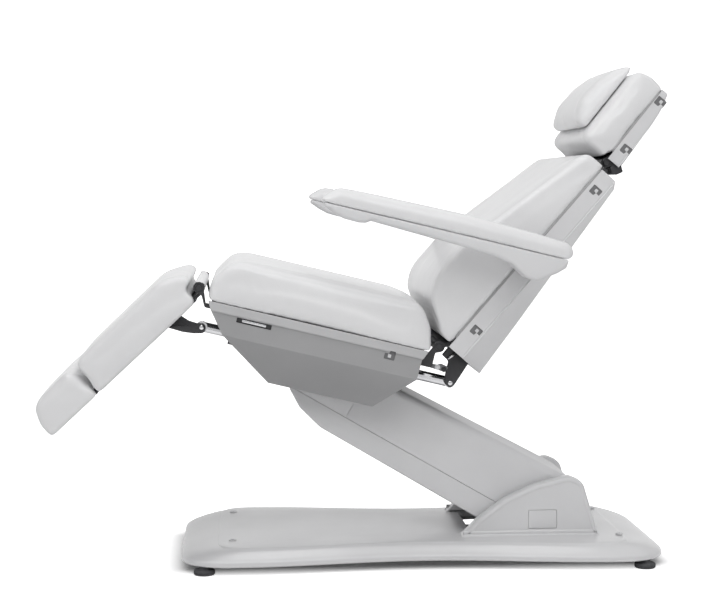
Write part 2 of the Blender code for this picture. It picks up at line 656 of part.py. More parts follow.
def skirt(name, rail_name, side):
    rings = []
    for z, half, front, rear in SKIRT_LEVELS:
        inner = half - SKIRT_WALL
        rings.append([(front, side * half, z), (rear, side * half, z), (rear, side * inner, z),
                      (front, side * inner, z)])
    panel = node(name, loft(rings), seat, PLASTIC)
    z_low = -LIP_HEIGHT - 0.0032 - SLOT_HEIGHT
    x_low = SLOT_X - SLOT_LENGTH / 2
    wall_out = SKIRT_HALF_WIDTH - LIP_STEP
    window = sorted((side * (wall_out - 0.03), side * (wall_out + 0.03)))
    cut(panel, box(x_low, x_low + SLOT_LENGTH, *window, z_low, z_low + SLOT_HEIGHT))
    # Rail plate behind the slot, hung from the board
    top = BOARD_LOW - FIT
    plate = sorted((side * (wall_out - SKIRT_WALL - FIT), side * (wall_out - SKIRT_WALL - 0.0033)))
    node(rail_name, box(x_low - 0.008, x_low + SLOT_LENGTH + 0.008, *plate, z_low - 0.008, top), seat, CHROME)


FRONT_COVER_TOP = -0.104


def front_cover():
    # Sloped panel between the skirts under the leg drive
    crease, bottom = SKIRT_LEVELS[3], SKIRT_LEVELS[4]
    share = (FRONT_COVER_TOP - crease[0]) / (bottom[0] - crease[0])
    rings = []
    for part in (share, 1.0):
        z = crease[0] + part * (bottom[0] - crease[0])
        half = crease[1] + part * (bottom[1] - crease[1]) - SKIRT_WALL - FIT
        front = crease[2] + part * (bottom[2] - crease[2])
        rings.append([(front, -half, z), (front, half, z), (front + SKIRT_WALL, half, z),
                      (front + SKIRT_WALL, -half, z)])
    node("seat_front_cover", loft(rings), seat, PLASTIC)


seat_frame()
for side_name, side in (("near", -1), ("far", 1)):
    skirt(f"seat_skirt_{side_name}", f"accessory_rail_{side_name}", side)
front_cover()
seat_outline = rounded([(SEAT_FRONT + 0.010, 0.0, 0.008), (SEAT_REAR, 0.0, 0.006),
                        (SEAT_REAR - 0.006, SEAT_SIDE_HEIGHT, SEAT_ROUND),
                        (SEAT_REAR - SEAT_REAR_SLOPE, SEAT_THICK, SEAT_ROUND),
                        (SEAT_FRONT + SEAT_NOSE_SLOPE, SEAT_THICK, SEAT_ROUND),
                        (SEAT_FRONT - 0.004, SEAT_NOSE_HEIGHT, 0.030)], 4)
node("seat_cushion", cushion(seat_outline, SEAT_WIDTH / 2, 0.024, SEAT_CROWN), seat, LEATHER)
node("control_box", box(CONTROL_BOX_X, CONTROL_BOX_X + CONTROL_BOX_LENGTH, CONTROL_BOX_Y,
                        CONTROL_BOX_Y + CONTROL_BOX_WIDTH, BOARD_LOW - CONTROL_BOX_HEIGHT, BOARD_LOW - FIT),
     seat, RUBBER)


# Leg rest: x runs from the hinge out to the foot along -x
LEG_BASE = -0.007
LEG_BOARD_TOP = LEG_BASE - FIT
LEG_BOARD_LOW = LEG_BOARD_TOP - LEG_BOARD
RAIL_Y = 0.070
RAIL_HALF = 0.010
RAIL_SLOT = 0.0108
LEG_PIN = (-0.060, -math.sqrt(LEVER_REACH ** 2 - 0.060 ** 2))
BARREL_RADIUS = KNUCKLE_RADIUS - 0.001


def barrel(name, parent, plate, web):
    # Hinge barrel with its through hole, joined to a flat plate by a web
    body = node(name, plate, parent, STEEL)
    add(body, web)
    add(body, cross_rod(0.0, 0.0, BARREL_RADIUS, -KNUCKLE_HALF_SPAN, KNUCKLE_HALF_SPAN))
    cut(body, hole(0.0, 0.0, AXLE_RADIUS + PIN_PLAY, -KNUCKLE_HALF_SPAN - 0.01, KNUCKLE_HALF_SPAN + 0.01))
    return body


leg_half = KNUCKLE_HALF_SPAN - RUN_GAP
leg_plate = box(-LEG_LENGTH + 0.003, -0.026, -leg_half, leg_half, LEG_BOARD_LOW, LEG_BOARD_TOP)
leg_web = box(-0.030, 0.000, -leg_half, leg_half, LEG_BOARD_LOW + 0.003, LEG_BOARD_TOP - 0.001)
leg_frame = barrel("leg_frame", leg, leg_plate, leg_web)
for side in (-1, 1):
    slot = sorted((side * (RAIL_Y - RAIL_SLOT), side * (RAIL_Y + RAIL_SLOT)))
    cut(leg_frame, box(-LEG_LENGTH - 0.01, -0.115, *slot, LEG_BOARD_LOW - 0.01, LEG_BOARD_TOP + 0.01))
leg_outline = rounded([(-LEG_LENGTH + 0.001, LEG_BASE, 0.006), (-0.024, LEG_BASE, 0.003), (-0.020, 0.0235, 0.004),
                       (0.008, 0.0225, 0.008), (0.003, 0.050, 0.030), (-0.050, LEG_THICK + 0.002, 0.050),
                       (-LEG_LENGTH + 0.001, LEG_THICK - 0.001, 0.018)], 3)
node("legrest_cushion", cushion(leg_outline, LEG_WIDTH / 2, 0.012, 0.008), leg, LEATHER)
LEVER_LOW = LEVER_Y - LEVER_PLATE / 2
LEVER_HIGH = LEVER_Y + LEVER_PLATE / 2
leg_lever_outline = rounded([(-0.116, LEG_BOARD_LOW - FIT, 0.0), (-0.076, LEG_BOARD_LOW - FIT, 0.0),
                             (-0.066, -0.042, 0.020), (LEG_PIN[0] + LEVER_END, LEG_PIN[1] + 0.006, 0.010),
                             (LEG_PIN[0] + 0.006, LEG_PIN[1] - LEVER_END, 0.010),
                             (LEG_PIN[0] - 0.014, LEG_PIN[1] - LEVER_END, 0.016), (-0.100, -0.052, 0.030)], 5)
leg_lever = node("leg_lever", side_prism(leg_lever_outline, LEVER_LOW, LEVER_HIGH), leg, STEEL)
add(leg_lever, cross_rod(*LEG_PIN, DRIVE_PIN, LEVER_HIGH - 0.003, LEVER_HIGH + 2 * ROD_RADIUS, 10))
node("leg_axle", cross_rod(LEG_PIVOT_X, LEG_PIVOT_Z, AXLE_RADIUS, -HINGE_OUT, HINGE_OUT), seat, CHROME)

FOOT_START = -LEG_LENGTH - FOOT_SEAM + 0.001
FOOT_END = FOOT_START - FOOT_LENGTH
foot_slide = node("foot_slide", box(FOOT_END + 0.014, FOOT_START - 0.004, -leg_half, leg_half, LEG_BOARD_LOW,
                                    LEG_BOARD_TOP), leg, STEEL)
for side in (-1, 1):
    rail = sorted((side * (RAIL_Y - RAIL_HALF), side * (RAIL_Y + RAIL_HALF)))
    add(foot_slide, box(FOOT_START - 0.010, -0.135, *rail, LEG_BOARD_LOW + 0.001, LEG_BOARD_TOP - 0.0005))
foot_outline = rounded([(FOOT_START, LEG_BASE, 0.004), (FOOT_START, LEG_THICK - 0.002, 0.018),
                        (FOOT_END + 0.018, LEG_THICK - 0.008, 0.030), (FOOT_END, 0.022, 0.030),
                        (FOOT_END + 0.004, LEG_BASE, 0.008)], 4)
node("foot_cushion", cushion(foot_outline, LEG_WIDTH / 2, 0.012, 0.006), leg, LEATHER)


# Back frame, shell and cushion: x runs up the back, z towards the sitter
BACK_PLATE_TOP = BACK_SEAM - FIT
BACK_PLATE_LOW = BACK_PLATE_TOP - 0.012
SHELL_HALF = BACK_WIDTH / 2 - 0.004
SHELL_FOOT = 0.014
SHELL_END = BACK_LENGTH - 0.012
SHELL_CAP = 0.004
BACK_PIN = (-0.0467, -math.sqrt(LEVER_REACH ** 2 - 0.0467 ** 2))


def tray_ring(x, half, seam, band, flat_half, rear, wall):
    # U section across the width: straight side bands, then sloped walls to a flat back
    outer = [(half, seam), (half, -band), (flat_half, -rear), (-flat_half, -rear), (-half, -band), (-half, seam)]
    inner = [(-half + wall, seam), (-half + wall, -band + 0.6 * wall), (-flat_half, -rear + wall),
             (flat_half, -rear + wall), (half - wall, -band + 0.6 * wall), (half - wall, seam)]
    return [(x, y, z) for y, z in outer + inner]


def back_shell():
    flat = SHELL_HALF - 0.085
    band = SHELL_BAND + 0.010
    rows = [(SHELL_FOOT, band + SHELL_BULGE), (0.30 * SHELL_END, band + 0.82 * SHELL_BULGE),
            (0.70 * SHELL_END, band + 0.40 * SHELL_BULGE), (SHELL_END, band + 0.006)]
    shell = node("back_shell", loft([tray_ring(x, SHELL_HALF, BACK_PLATE_TOP, band, flat, rear, SHELL_WALL)
                                     for x, rear in rows]), back, PLASTIC)
    top_rear = rows[-1][1]
    edge = SHELL_HALF - 0.002
    cap_top = BACK_PLATE_LOW - FIT
    cap_low = -top_rear + 0.002
    cap_band = -band + 0.002
    cap = [(edge, cap_top), (edge, cap_band), (flat, cap_low), (-flat, cap_low), (-edge, cap_band), (-edge, cap_top)]
    add(shell, loft([[(x, y, z) for y, z in cap] for x in (SHELL_END - SHELL_CAP, SHELL_END - 0.0005)]))


back_half = SHELL_HALF - SHELL_WALL - FIT
back_plate = box(0.024, BACK_LENGTH - 0.006, -back_half, back_half, BACK_PLATE_LOW, BACK_PLATE_TOP)
back_web = loft([[(0.002, y, -0.004), (0.030, y, BACK_PLATE_TOP - 0.002), (0.030, y, BACK_PLATE_LOW + 0.001),
                  (0.000, y, -0.0105)] for y in (-leg_half, leg_half)])
back_frame = barrel("back_frame", back, back_plate, back_web)
HEAD_BARREL = 0.012
HEAD_AXLE = AXLE_RADIUS - 0.001
HEAD_SPAN = 0.188
head_web = loft([[(BACK_LENGTH - 0.012, y, BACK_PLATE_TOP - 0.001), (HEAD_PIVOT_X, y, HEAD_PIVOT_Z + 0.009),
                  (HEAD_PIVOT_X, y, HEAD_PIVOT_Z - 0.009), (BACK_LENGTH - 0.012, y, BACK_PLATE_LOW + 0.001)]
                 for y in (-HEAD_SPAN, HEAD_SPAN)])
add(back_frame, head_web)
add(back_frame, cross_rod(HEAD_PIVOT_X, HEAD_PIVOT_Z, HEAD_BARREL, -HEAD_SPAN, HEAD_SPAN))
cut(back_frame, hole(HEAD_PIVOT_X, HEAD_PIVOT_Z, HEAD_AXLE + PIN_PLAY, -HEAD_SPAN - 0.01, HEAD_SPAN + 0.01))
back_shell()
back_outline = rounded([(0.034, BACK_SEAM, 0.005), (BACK_LENGTH - 0.002, BACK_SEAM, 0.005),
                        (BACK_LENGTH + 0.002, BACK_TOP_THICK + BACK_SEAM + 0.004, 0.016),
                        (0.230, BACK_LUMBAR + 0.004, 0.200), (0.105, BACK_LUMBAR + 0.003, 0.080),
                        (BACK_FOOT, BACK_LUMBAR - 0.021, 0.022), (0.040, 0.052, 0.020)], 4)
node("back_cushion", cushion(back_outline, BACK_WIDTH / 2, 0.020, 0.005), back, LEATHER)
back_lever_outline = rounded([(0.058, BACK_PLATE_LOW - FIT, 0.0), (0.018, BACK_PLATE_LOW - FIT, 0.0),
                              (-0.006, -0.040, 0.020), (BACK_PIN[0] - 0.008, BACK_PIN[1] + 0.010, 0.012),
                              (BACK_PIN[0] - LEVER_END, BACK_PIN[1] - 0.004, 0.010),
                              (BACK_PIN[0] + 0.002, BACK_PIN[1] - LEVER_END, 0.012), (0.030, -0.078, 0.020)], 5)
back_lever = node("back_lever", side_prism(back_lever_outline, LEVER_LOW, LEVER_HIGH), back, STEEL)
add(back_lever, cross_rod(*BACK_PIN, DRIVE_PIN, LEVER_HIGH - 0.003, LEVER_HIGH + 2 * ROD_RADIUS, 10))
node("back_axle", cross_rod(BACK_PIVOT_X, BACK_PIVOT_Z, AXLE_RADIUS, -HINGE_OUT, HINGE_OUT), seat, CHROME)


# Headrest: x runs up the head, z towards the sitter
HEAD_PLATE_TOP = HEAD_SEAM - FIT
HEAD_PLATE_LOW = HEAD_PLATE_TOP - 0.008
HEAD_SHELL_HALF = HEAD_WIDTH / 2 - 0.003
HEAD_SHELL_FOOT = 0.016
head_half = HEAD_SHELL_HALF - SHELL_WALL - FIT
HEAD_EYE_IN = HEAD_SPAN + FIT
HEAD_EYE_OUT = HEAD_EYE_IN + 0.012
head_frame = node("head_frame", box(HEAD_SHELL_FOOT, HEAD_LENGTH - 0.024, -head_half, head_half, HEAD_PLATE_LOW,
                                    HEAD_PLATE_TOP), head, STEEL)
head_eye = rounded([(0.040, HEAD_PLATE_TOP - 0.001, 0.0), (0.019, HEAD_PLATE_TOP - 0.001, 0.0),
                    (0.002, HEAD_BARREL, 0.006), (-HEAD_BARREL, 0.0, 0.010), (0.0, -HEAD_BARREL - 0.002, 0.008),
                    (0.040, HEAD_PLATE_LOW + 0.001, 0.0)])
for side in (-1, 1):
    add(head_frame, side_prism(head_eye, *sorted((side * HEAD_EYE_IN, side * HEAD_EYE_OUT))))
cut(head_frame, hole(0.0, 0.0, HEAD_AXLE + PIN_PLAY, -HEAD_EYE_OUT - 0.01, HEAD_EYE_OUT + 0.01))
node("head_axle", cross_rod(HEAD_PIVOT_X, HEAD_PIVOT_Z, HEAD_AXLE, -HEAD_EYE_OUT, HEAD_EYE_OUT), back, CHROME)


def head_shell():
    rows = [(HEAD_SHELL_FOOT, HEAD_SHELL_DEPTH - 0.003), (0.72 * HEAD_LENGTH, HEAD_SHELL_DEPTH - 0.012),
            (0.90 * HEAD_LENGTH, HEAD_SHELL_DEPTH - 0.022), (0.955 * HEAD_LENGTH, 0.010)]
    flat = HEAD_SHELL_HALF - 0.050
    rings = [tray_ring(x, HEAD_SHELL_HALF, HEAD_PLATE_TOP, min(0.012, rear - 0.004), flat, rear, SHELL_WALL)
             for x, rear in rows]
    shell = node("headrest_shell", loft(rings), head, PLASTIC)
    end = rows[-1][0]
    half = HEAD_SHELL_HALF - 0.002
    low = -rows[-1][1] + 0.002
    add(shell, box(end - SHELL_CAP, end - 0.0005, -half + 0.052, half - 0.052, low, HEAD_PLATE_TOP - 0.0005))


head_shell()
HEAD_TOP = HEAD_SEAM + HEAD_THICK
head_outline = rounded([(0.000, HEAD_BARREL + 0.005, 0.004), (0.018, HEAD_BARREL + 0.003, 0.003),
                        (0.022, HEAD_SEAM, 0.003), (0.212, HEAD_SEAM, 0.006), (HEAD_LENGTH + 0.004, 0.042, 0.030),
                        (HEAD_LENGTH - 0.004, HEAD_TOP, 0.014), (0.000, HEAD_TOP, 0.014)], 3)
node("headrest_cushion", cushion(head_outline, HEAD_WIDTH / 2, 0.014, 0.0), head, LEATHER)
PILLOW_LOW = HEAD_TOP + FIT
PILLOW_TOP = PILLOW_LOW + PILLOW_THICK
PILLOW_END = HEAD_LENGTH + 0.002
pillow_outline = rounded([(0.030, PILLOW_LOW, 0.015), (PILLOW_END - 0.016, PILLOW_LOW, 0.008),
                          (PILLOW_END, PILLOW_LOW + 0.010, 0.010), (PILLOW_END - 0.032, PILLOW_TOP - 0.024, 0.030),
                          (PILLOW_END - 0.092, PILLOW_TOP - 0.004, 0.040), (0.060, PILLOW_TOP + 0.003, 0.040),
                          (0.002, PILLOW_TOP - 0.022, 0.030)], 4)
node("head_pillow", cushion(pillow_outline, PILLOW_WIDTH / 2, 0.026, 0.0), head, LEATHER)


# Armrests: x runs back along the pad, the pivot is at the origin
ARMREST_IN = SHELL_HALF + ARMREST_GAP
ARMREST_MIDDLE = ARMREST_IN + ARMREST_WIDTH / 2
BRACKET_PIN = 0.010
ARMREST_FRONT = ARMREST_BEHIND - ARMREST_LENGTH


def armrest(side_name, side):
    axis = frame(f"armrest_axis_{side_name}", back, ARMREST_PIVOT_X, ARMREST_PIVOT_Z, BACK_LEAN,
                 side * ARMREST_MIDDLE)
    half = ARMREST_WIDTH / 2
    to_shell = -side * (ARMREST_MIDDLE - SHELL_HALF - FIT)
    face = -side * (half + FIT)
    bracket = node(f"armrest_bracket_{side_name}",
                   cross_rod(0.0, 0.0, HUB_RADIUS - 0.005, *sorted((to_shell, face)), 24), axis, STEEL)
    add(bracket, cross_rod(0.0, 0.0, BRACKET_PIN, *sorted((face - side * 0.004, side * half * 0.5)), 16))
    top = PAD_SEAM - FIT
    outline = rounded([(ARMREST_FRONT + 0.020, top, 0.0), (ARMREST_BEHIND - 0.012, top, 0.0),
                       (ARMREST_BEHIND - 0.014, 0.012, 0.012), (0.040, -0.006, 0.014), (0.022, -HUB_RADIUS, 0.018),
                       (-0.020, -HUB_RADIUS, 0.018), (-0.050, -0.006, 0.018), (-0.085, TRAY_LOW - 0.003, 0.020),
                       (ARMREST_FRONT + 0.145, TRAY_LOW + 0.004, 0.020), (ARMREST_FRONT + 0.110, -0.004, 0.020),
                       (ARMREST_FRONT + 0.045, 0.002, 0.030), (ARMREST_FRONT + 0.014, 0.020, 0.010)])
    tray = node(f"armrest_tray_{side_name}", side_prism(outline, -half + 0.004, half - 0.004), axis, PLASTIC)
    add(tray, cross_rod(0.0, 0.0, HUB_RADIUS - 0.006, *sorted((-side * half, 0.0)), 24))
    bore_span = sorted((-side * (half + 0.01), side * (half * 0.5 + 0.002)))
    cut(tray, hole(0.0, 0.0, BRACKET_PIN + PIN_PLAY, *bore_span, 16))
    pad_outline = rounded([(ARMREST_FRONT + 0.003, PAD_SEAM, 0.006), (ARMREST_BEHIND - 0.010, PAD_SEAM, 0.006),
                           (ARMREST_BEHIND + 0.002, PAD_SEAM + 0.018, 0.014),
                           (ARMREST_BEHIND - 0.016, PAD_SEAM + PAD_THICK - 0.006, 0.016),
                           (-0.175, PAD_SEAM + PAD_THICK + 0.001, 0.100),
                           (ARMREST_FRONT + 0.030, PAD_SEAM + PAD_THICK - 0.004, 0.024),
                           (ARMREST_FRONT - 0.002, PAD_SEAM + 0.008, 0.010)])
    node(f"armrest_pad_{side_name}", cushion(pad_outline, half, 0.014, 0.003, 0.002, 2), axis, LEATHER)


armrest("near", -1)
armrest("far", 1)


# Drives: a motor with its tube turns on its mount, a rod turns on the driven pin and slides in the tube
def turned(turn, x, z):
    # A point of a frame that is turned about the cross axis, in its parent's directions
    angle = math.radians(turn)
    return x * math.cos(angle) + z * math.sin(angle), -x * math.sin(angle) + z * math.cos(angle)


NECK = 0.036
LIFT_NECK = 0.066
MOTOR_EYE_HALF = 0.009


def drive(name, mount_frame, mount, rod_frame, rod_place, rod_turn, pin, y, tube_length, rod_length, can,
          rod_pin=DRIVE_PIN, rod_eye=DRIVE_EYE, neck=NECK):
    # The pin is given in the mount's frame, the rod's place in its own frame
    aim = -math.degrees(math.atan2(pin[1] - mount[1], pin[0] - mount[0]))
    motor_axis = frame(f"{name}_motor_axis", mount_frame, *mount, aim, y)
    motor = node(f"{name}_motor", long_rod(neck - 0.004, tube_length, 0.0, 0.0, TUBE_BORE + TUBE_WALL, 16),
                 motor_axis, RUBBER)
    add(motor, box(0.0, neck, -MOTOR_EYE_HALF, MOTOR_EYE_HALF, -0.010, 0.010))
    add(motor, cross_rod(0.0, 0.0, DRIVE_EYE, -MOTOR_EYE_HALF + 0.0002, MOTOR_EYE_HALF - 0.0002))
    if can:
        add(motor, box(neck + 0.004, neck + 0.064, -0.018, 0.018, can * 0.044, can * 0.015))
    cut(motor, hole(0.0, 0.0, DRIVE_PIN + FIT, -0.05, 0.05, 10))
    cut(motor, long_rod(neck + 0.002, tube_length + 0.01, 0.0, 0.0, TUBE_BORE, 16))
    rod_axis = frame(f"{name}_rod_axis", rod_frame, *rod_place, aim - rod_turn, y)
    rod = node(f"{name}_rod", long_rod(-rod_length, -0.5 * rod_eye, 0.0, 0.0, ROD_RADIUS), rod_axis, CHROME)
    add(rod, cross_rod(0.0, 0.0, rod_eye, -ROD_RADIUS + 0.0004, ROD_RADIUS - 0.0004))
    cut(rod, hole(0.0, 0.0, rod_pin + FIT, -0.05, 0.05))


def from_pivot(pivot_x, pivot_z, turn, place):
    x, z = turned(turn, *place)
    return pivot_x + x, pivot_z + z


drive("leg", seat, LEG_MOUNT, leg, LEG_PIN, -LEG_DROP, from_pivot(LEG_PIVOT_X, LEG_PIVOT_Z, -LEG_DROP, LEG_PIN),
      DRIVE_Y, 0.170, 0.180, -1)
drive("back", seat, BACK_MOUNT, back, BACK_PIN, -BACK_LEAN,
      from_pivot(BACK_PIVOT_X, BACK_PIVOT_Z, -BACK_LEAN, BACK_PIN), DRIVE_Y, 0.160, 0.146, 1)
lug_x, lug_z = turned(SEAT_TILT, TILT_LUG[0] - SEAT_AHEAD, TILT_LUG[1] + SEAT_ABOVE_TILT)
drive("tilt", carriage, (TILT_EYE_X, TILT_EYE_Z), seat, TILT_LUG, SEAT_TILT, (lug_x, TILT_ABOVE_ARM + lug_z), 0.0,
      0.112, 0.100, 0)
arm_rise = math.radians(ARM_RISE)
upper_pivot = (LOWER_PIVOT_X - ARM_LENGTH * math.cos(arm_rise), LOWER_PIVOT_Z + ARM_LENGTH * math.sin(arm_rise))
drive("lift", base, (LOWER_PIVOT_X, LOWER_PIVOT_Z - LIFT_EYE_DROP), carriage, (0.0, 0.0), 0.0, upper_pivot, -0.045,
      0.360, 0.330, 0, PIVOT_RADIUS, PIVOT_RADIUS + 0.008, LIFT_NECK)
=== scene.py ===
import math

import bmesh
import bpy
import numpy as np
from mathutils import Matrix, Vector


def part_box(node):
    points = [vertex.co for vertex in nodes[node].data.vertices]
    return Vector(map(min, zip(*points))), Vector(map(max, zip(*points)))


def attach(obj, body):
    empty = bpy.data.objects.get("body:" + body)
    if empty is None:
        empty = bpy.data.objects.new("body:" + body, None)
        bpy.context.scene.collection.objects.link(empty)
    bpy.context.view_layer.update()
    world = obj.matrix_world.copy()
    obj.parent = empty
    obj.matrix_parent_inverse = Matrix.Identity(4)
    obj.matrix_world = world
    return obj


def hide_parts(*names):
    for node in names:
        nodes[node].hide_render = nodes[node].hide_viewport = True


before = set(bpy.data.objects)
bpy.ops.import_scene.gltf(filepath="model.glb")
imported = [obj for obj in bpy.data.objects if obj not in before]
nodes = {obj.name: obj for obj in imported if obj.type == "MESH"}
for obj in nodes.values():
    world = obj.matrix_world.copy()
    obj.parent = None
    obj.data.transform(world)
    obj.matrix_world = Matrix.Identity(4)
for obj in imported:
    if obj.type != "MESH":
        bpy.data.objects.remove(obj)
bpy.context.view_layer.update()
print("frame loaded:", len(nodes), "solids")

quarter = 0.5 * math.pi
weld, tiny = 1e-6, 1e-12
bothSides = (("Near", -1), ("Far", 1))
# angles in degrees beyond which an edge shades sharp
sharp = {"slab": 40.0, "turned": 35.0, "carved": 32.0, "moulded": 30.0, "never": 0}

# where each moving group sits: origin x, z and its turn about y in degrees
places = {
    "base": (0.0, 0.0, 0.0),
    "arm": (0.453, 0.122, 30.0),
    "seat": (-0.08503, 0.5705, 13.4),
    "leg": (-0.35811, 0.65612, -43.0),
    "back": (0.18696, 0.51907, -49.0),
    "head": (0.5808, 0.9386, -51.4),
    "armrest": (0.38654, 0.70598, 13.4),
}


def turned(place):
    ox, oz, turn = places[place]
    return ox, oz, math.cos(math.radians(turn)), math.sin(math.radians(turn))


def toWorld(points, place):  # turn about y, then shift: x cos + z sin, z cos - x sin
    ox, oz, c, s = turned(place)
    p = np.asarray(points, float).reshape(-1, 3)
    return np.stack([ox + p[:, 0] * c + p[:, 2] * s, p[:, 1], oz - p[:, 0] * s + p[:, 2] * c], 1)


def toLocal(points, place):  # the turn undone
    ox, oz, c, s = turned(place)
    p = np.asarray(points, float).reshape(-1, 3)
    x, z = p[:, 0] - ox, p[:, 2] - oz
    return np.stack([x * c - z * s, p[:, 1], x * s + z * c], 1)


def laid(rings, place):  # rings of points out of a group's place into the world
    return toWorld(rings, place).reshape(np.shape(rings))


def placed(x, y, z, place):
    return tuple(toWorld([(x, y, z)], place)[0])


def across(side, one, other):  # a run across y on one side of the bed, lower end first
    return sorted((side * one, side * other))


def meshPiece(name, points, faces, skin, body, smooth=sharp["moulded"]):
    mesh = bpy.data.meshes.new(name)
    mesh.from_pydata([tuple(p) for p in np.asarray(points, float)], [], faces)
    mesh.validate()
    shape = bmesh.new()
    shape.from_mesh(mesh)
    bmesh.ops.remove_doubles(shape, verts=shape.verts, dist=weld)
    bmesh.ops.recalc_face_normals(shape, faces=shape.faces)
    shape.to_mesh(mesh)
    shape.free()
    mesh.materials.append(skin)
    mesh.shade_smooth()
    if smooth:
        mesh.set_sharp_from_angle(angle=math.radians(smooth))
    piece = bpy.data.objects.new(name, mesh)
    bpy.context.scene.collection.objects.link(piece)
    if body:
        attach(piece, body)
    return piece


def gridFaces(rows, columns, closed=True):  # quads between rings laid out row by row
    r = np.arange(rows - 1)[:, None]
    k = np.arange(columns if closed else columns - 1)[None, :]
    after = (k + 1) % columns
    a, b = r * columns + k, r * columns + after
    return np.stack([a, b, b + columns, a + columns], -1).reshape(-1, 4).tolist()


def endCaps(rows, columns):
    return [list(range(columns - 1, -1, -1)), list(range((rows - 1) * columns, rows * columns))]


def skinRings(name, rings, skin, body, smooth=sharp["moulded"], caps=True):  # rings: (row, column, 3)
    rings = np.asarray(rings, float)
    rows, columns = rings.shape[:2]
    faces = gridFaces(rows, columns) + (endCaps(rows, columns) if caps else [])
    return meshPiece(name, rings.reshape(-1, 3), faces, skin, body, smooth)


def arcCorners(corners, steps):
    # each corner (x, z, radius) becomes a quadratic curve between its tangent points, at most half of either leg
    c = np.array([(x, z) for x, z, r in corners], float)
    out = []
    for i, (x, z, radius) in enumerate(corners):
        before, after = c[i - 1] - c[i], c[(i + 1) % len(c)] - c[i]
        lb, la = np.linalg.norm(before), np.linalg.norm(after)
        if radius <= 0:
            out.append(c[i][None])
            continue
        half = 0.5 * math.acos(np.clip(before @ after / (lb * la), -1, 1))
        reach = min(radius / math.tan(half), 0.49 * lb, 0.49 * la)
        start, end = c[i] + before / lb * reach, c[i] + after / la * reach
        t = np.linspace(0, 1, steps + 1)[:, None]
        out.append(start * (1 - t) ** 2 + c[i] * 2 * t * (1 - t) + end * t ** 2)
    return np.concatenate(out)


def boxLine(left, right, low, high, radius, steps):  # a rectangle with round corners
    corners = ((left, low), (right, low), (right, high), (left, high))
    return arcCorners([(x, z, radius) for x, z in corners], steps)


def evenly(outline, count):  # the same closed line through evenly spaced points
    p = np.concatenate([outline, outline[:1]])
    run = np.concatenate([[0], np.cumsum(np.linalg.norm(np.diff(p, axis=0), axis=1))])
    at = np.linspace(0, run[-1], count + 1)[:-1]
    return np.stack([np.interp(at, run, p[:, k]) for k in range(p.shape[1])], 1)


def drawIn(outline, amount):  # closed line moved inwards along its normals, by one amount or one for each point
    p = np.asarray(outline, float)
    along = np.roll(p, -1, 0) - np.roll(p, 1, 0)
    along /= np.maximum(np.linalg.norm(along, axis=1, keepdims=True), tiny)
    area = np.sum(p[:, 0] * np.roll(p[:, 1], -1) - np.roll(p[:, 0], -1) * p[:, 1])
    side = 1.0 if area > 0 else -1.0
    return p + side * np.reshape(amount, (-1, 1)) * np.stack([-along[:, 1], along[:, 0]], 1)


def blurred(at, knots, reach):  # straight pieces joined, averaged over a small window so that creases turn softly
    xs, ys = np.transpose(knots)
    return np.mean([np.interp(at + w, xs, ys) for w in np.linspace(-reach, reach, 9)], 0)


def standing(line, y):  # a line in x and z set up at one y
    return np.stack([line[:, 0], np.full(len(line), y), line[:, 1]], 1)


def slabRings(line, low, high, edge, steps, mask=1.0):
    # outline in x and z carried across y between low and high, both rims turned by a quarter round,
    # which the mask weighs point by point
    turn = np.linspace(0, quarter, steps + 1)
    inset, depth = edge * (1 - np.sin(turn)), edge * (1 - np.cos(turn))
    ys, ins = np.concatenate([low + depth, high - depth[::-1]]), np.concatenate([inset, inset[::-1]])
    return np.stack([standing(drawIn(line, i * mask), y) for y, i in zip(ys, ins)])


def softSlab(name, line, low, high, edge, place, skin, body, slot, steps):
    rings = laid(slabRings(line, low, high, edge, steps), place)
    return skinRings(name, rings, skin, body, sharp["slab"])


def toolPrism(line, low, high, place):  # closed tool with a flat face at each end
    rings = laid(np.stack([standing(line, y) for y in (low, high)]), place)
    return skinRings("tool", rings, plastic, None, sharp["never"])


def settled(piece):  # the mesh with all modifiers worked in
    graph = bpy.context.evaluated_depsgraph_get()
    done = bpy.data.meshes.new_from_object(piece.evaluated_get(graph))
    piece.modifiers.clear()
    return done


def dressed(piece, mesh, skin):
    piece.data = mesh
    mesh.materials.clear()
    mesh.materials.append(skin)
    mesh.shade_smooth()


def carve(piece, tools):  # work the modifiers in, take closed tool meshes out of a piece and drop them
    for tool in tools:
        step = piece.modifiers.new("carve", "BOOLEAN")
        step.operation, step.solver, step.object = "DIFFERENCE", "EXACT", tool
    dressed(piece, settled(piece), piece.data.materials[0])
    for tool in tools:
        bpy.data.objects.remove(tool)
    piece.data.set_sharp_from_angle(angle=math.radians(sharp["carved"]))


def thicken(piece, wall):  # an open skin gets a wall on its inside
    skin = piece.modifiers.new("wall", "SOLIDIFY")
    skin.thickness, skin.offset = wall, -1.0
    carve(piece, [])


def lathe(name, profile, place, axis, skin, body, sides):
    # radius and height turned round a line: place is the line's foot, axis its direction
    p = np.asarray(profile, float)
    w = Vector(axis)
    u = w.orthogonal().normalized()
    v = w.cross(u)
    turn = np.linspace(0, 2 * math.pi, sides, endpoint=False)
    ring = np.cos(turn)[:, None] * np.array(u) + np.sin(turn)[:, None] * np.array(v)
    rings = np.array(place) + p[:, 0, None, None] * ring[None] + p[:, 1, None, None] * np.array(w)
    return skinRings(name, rings, skin, body, sharp["turned"])


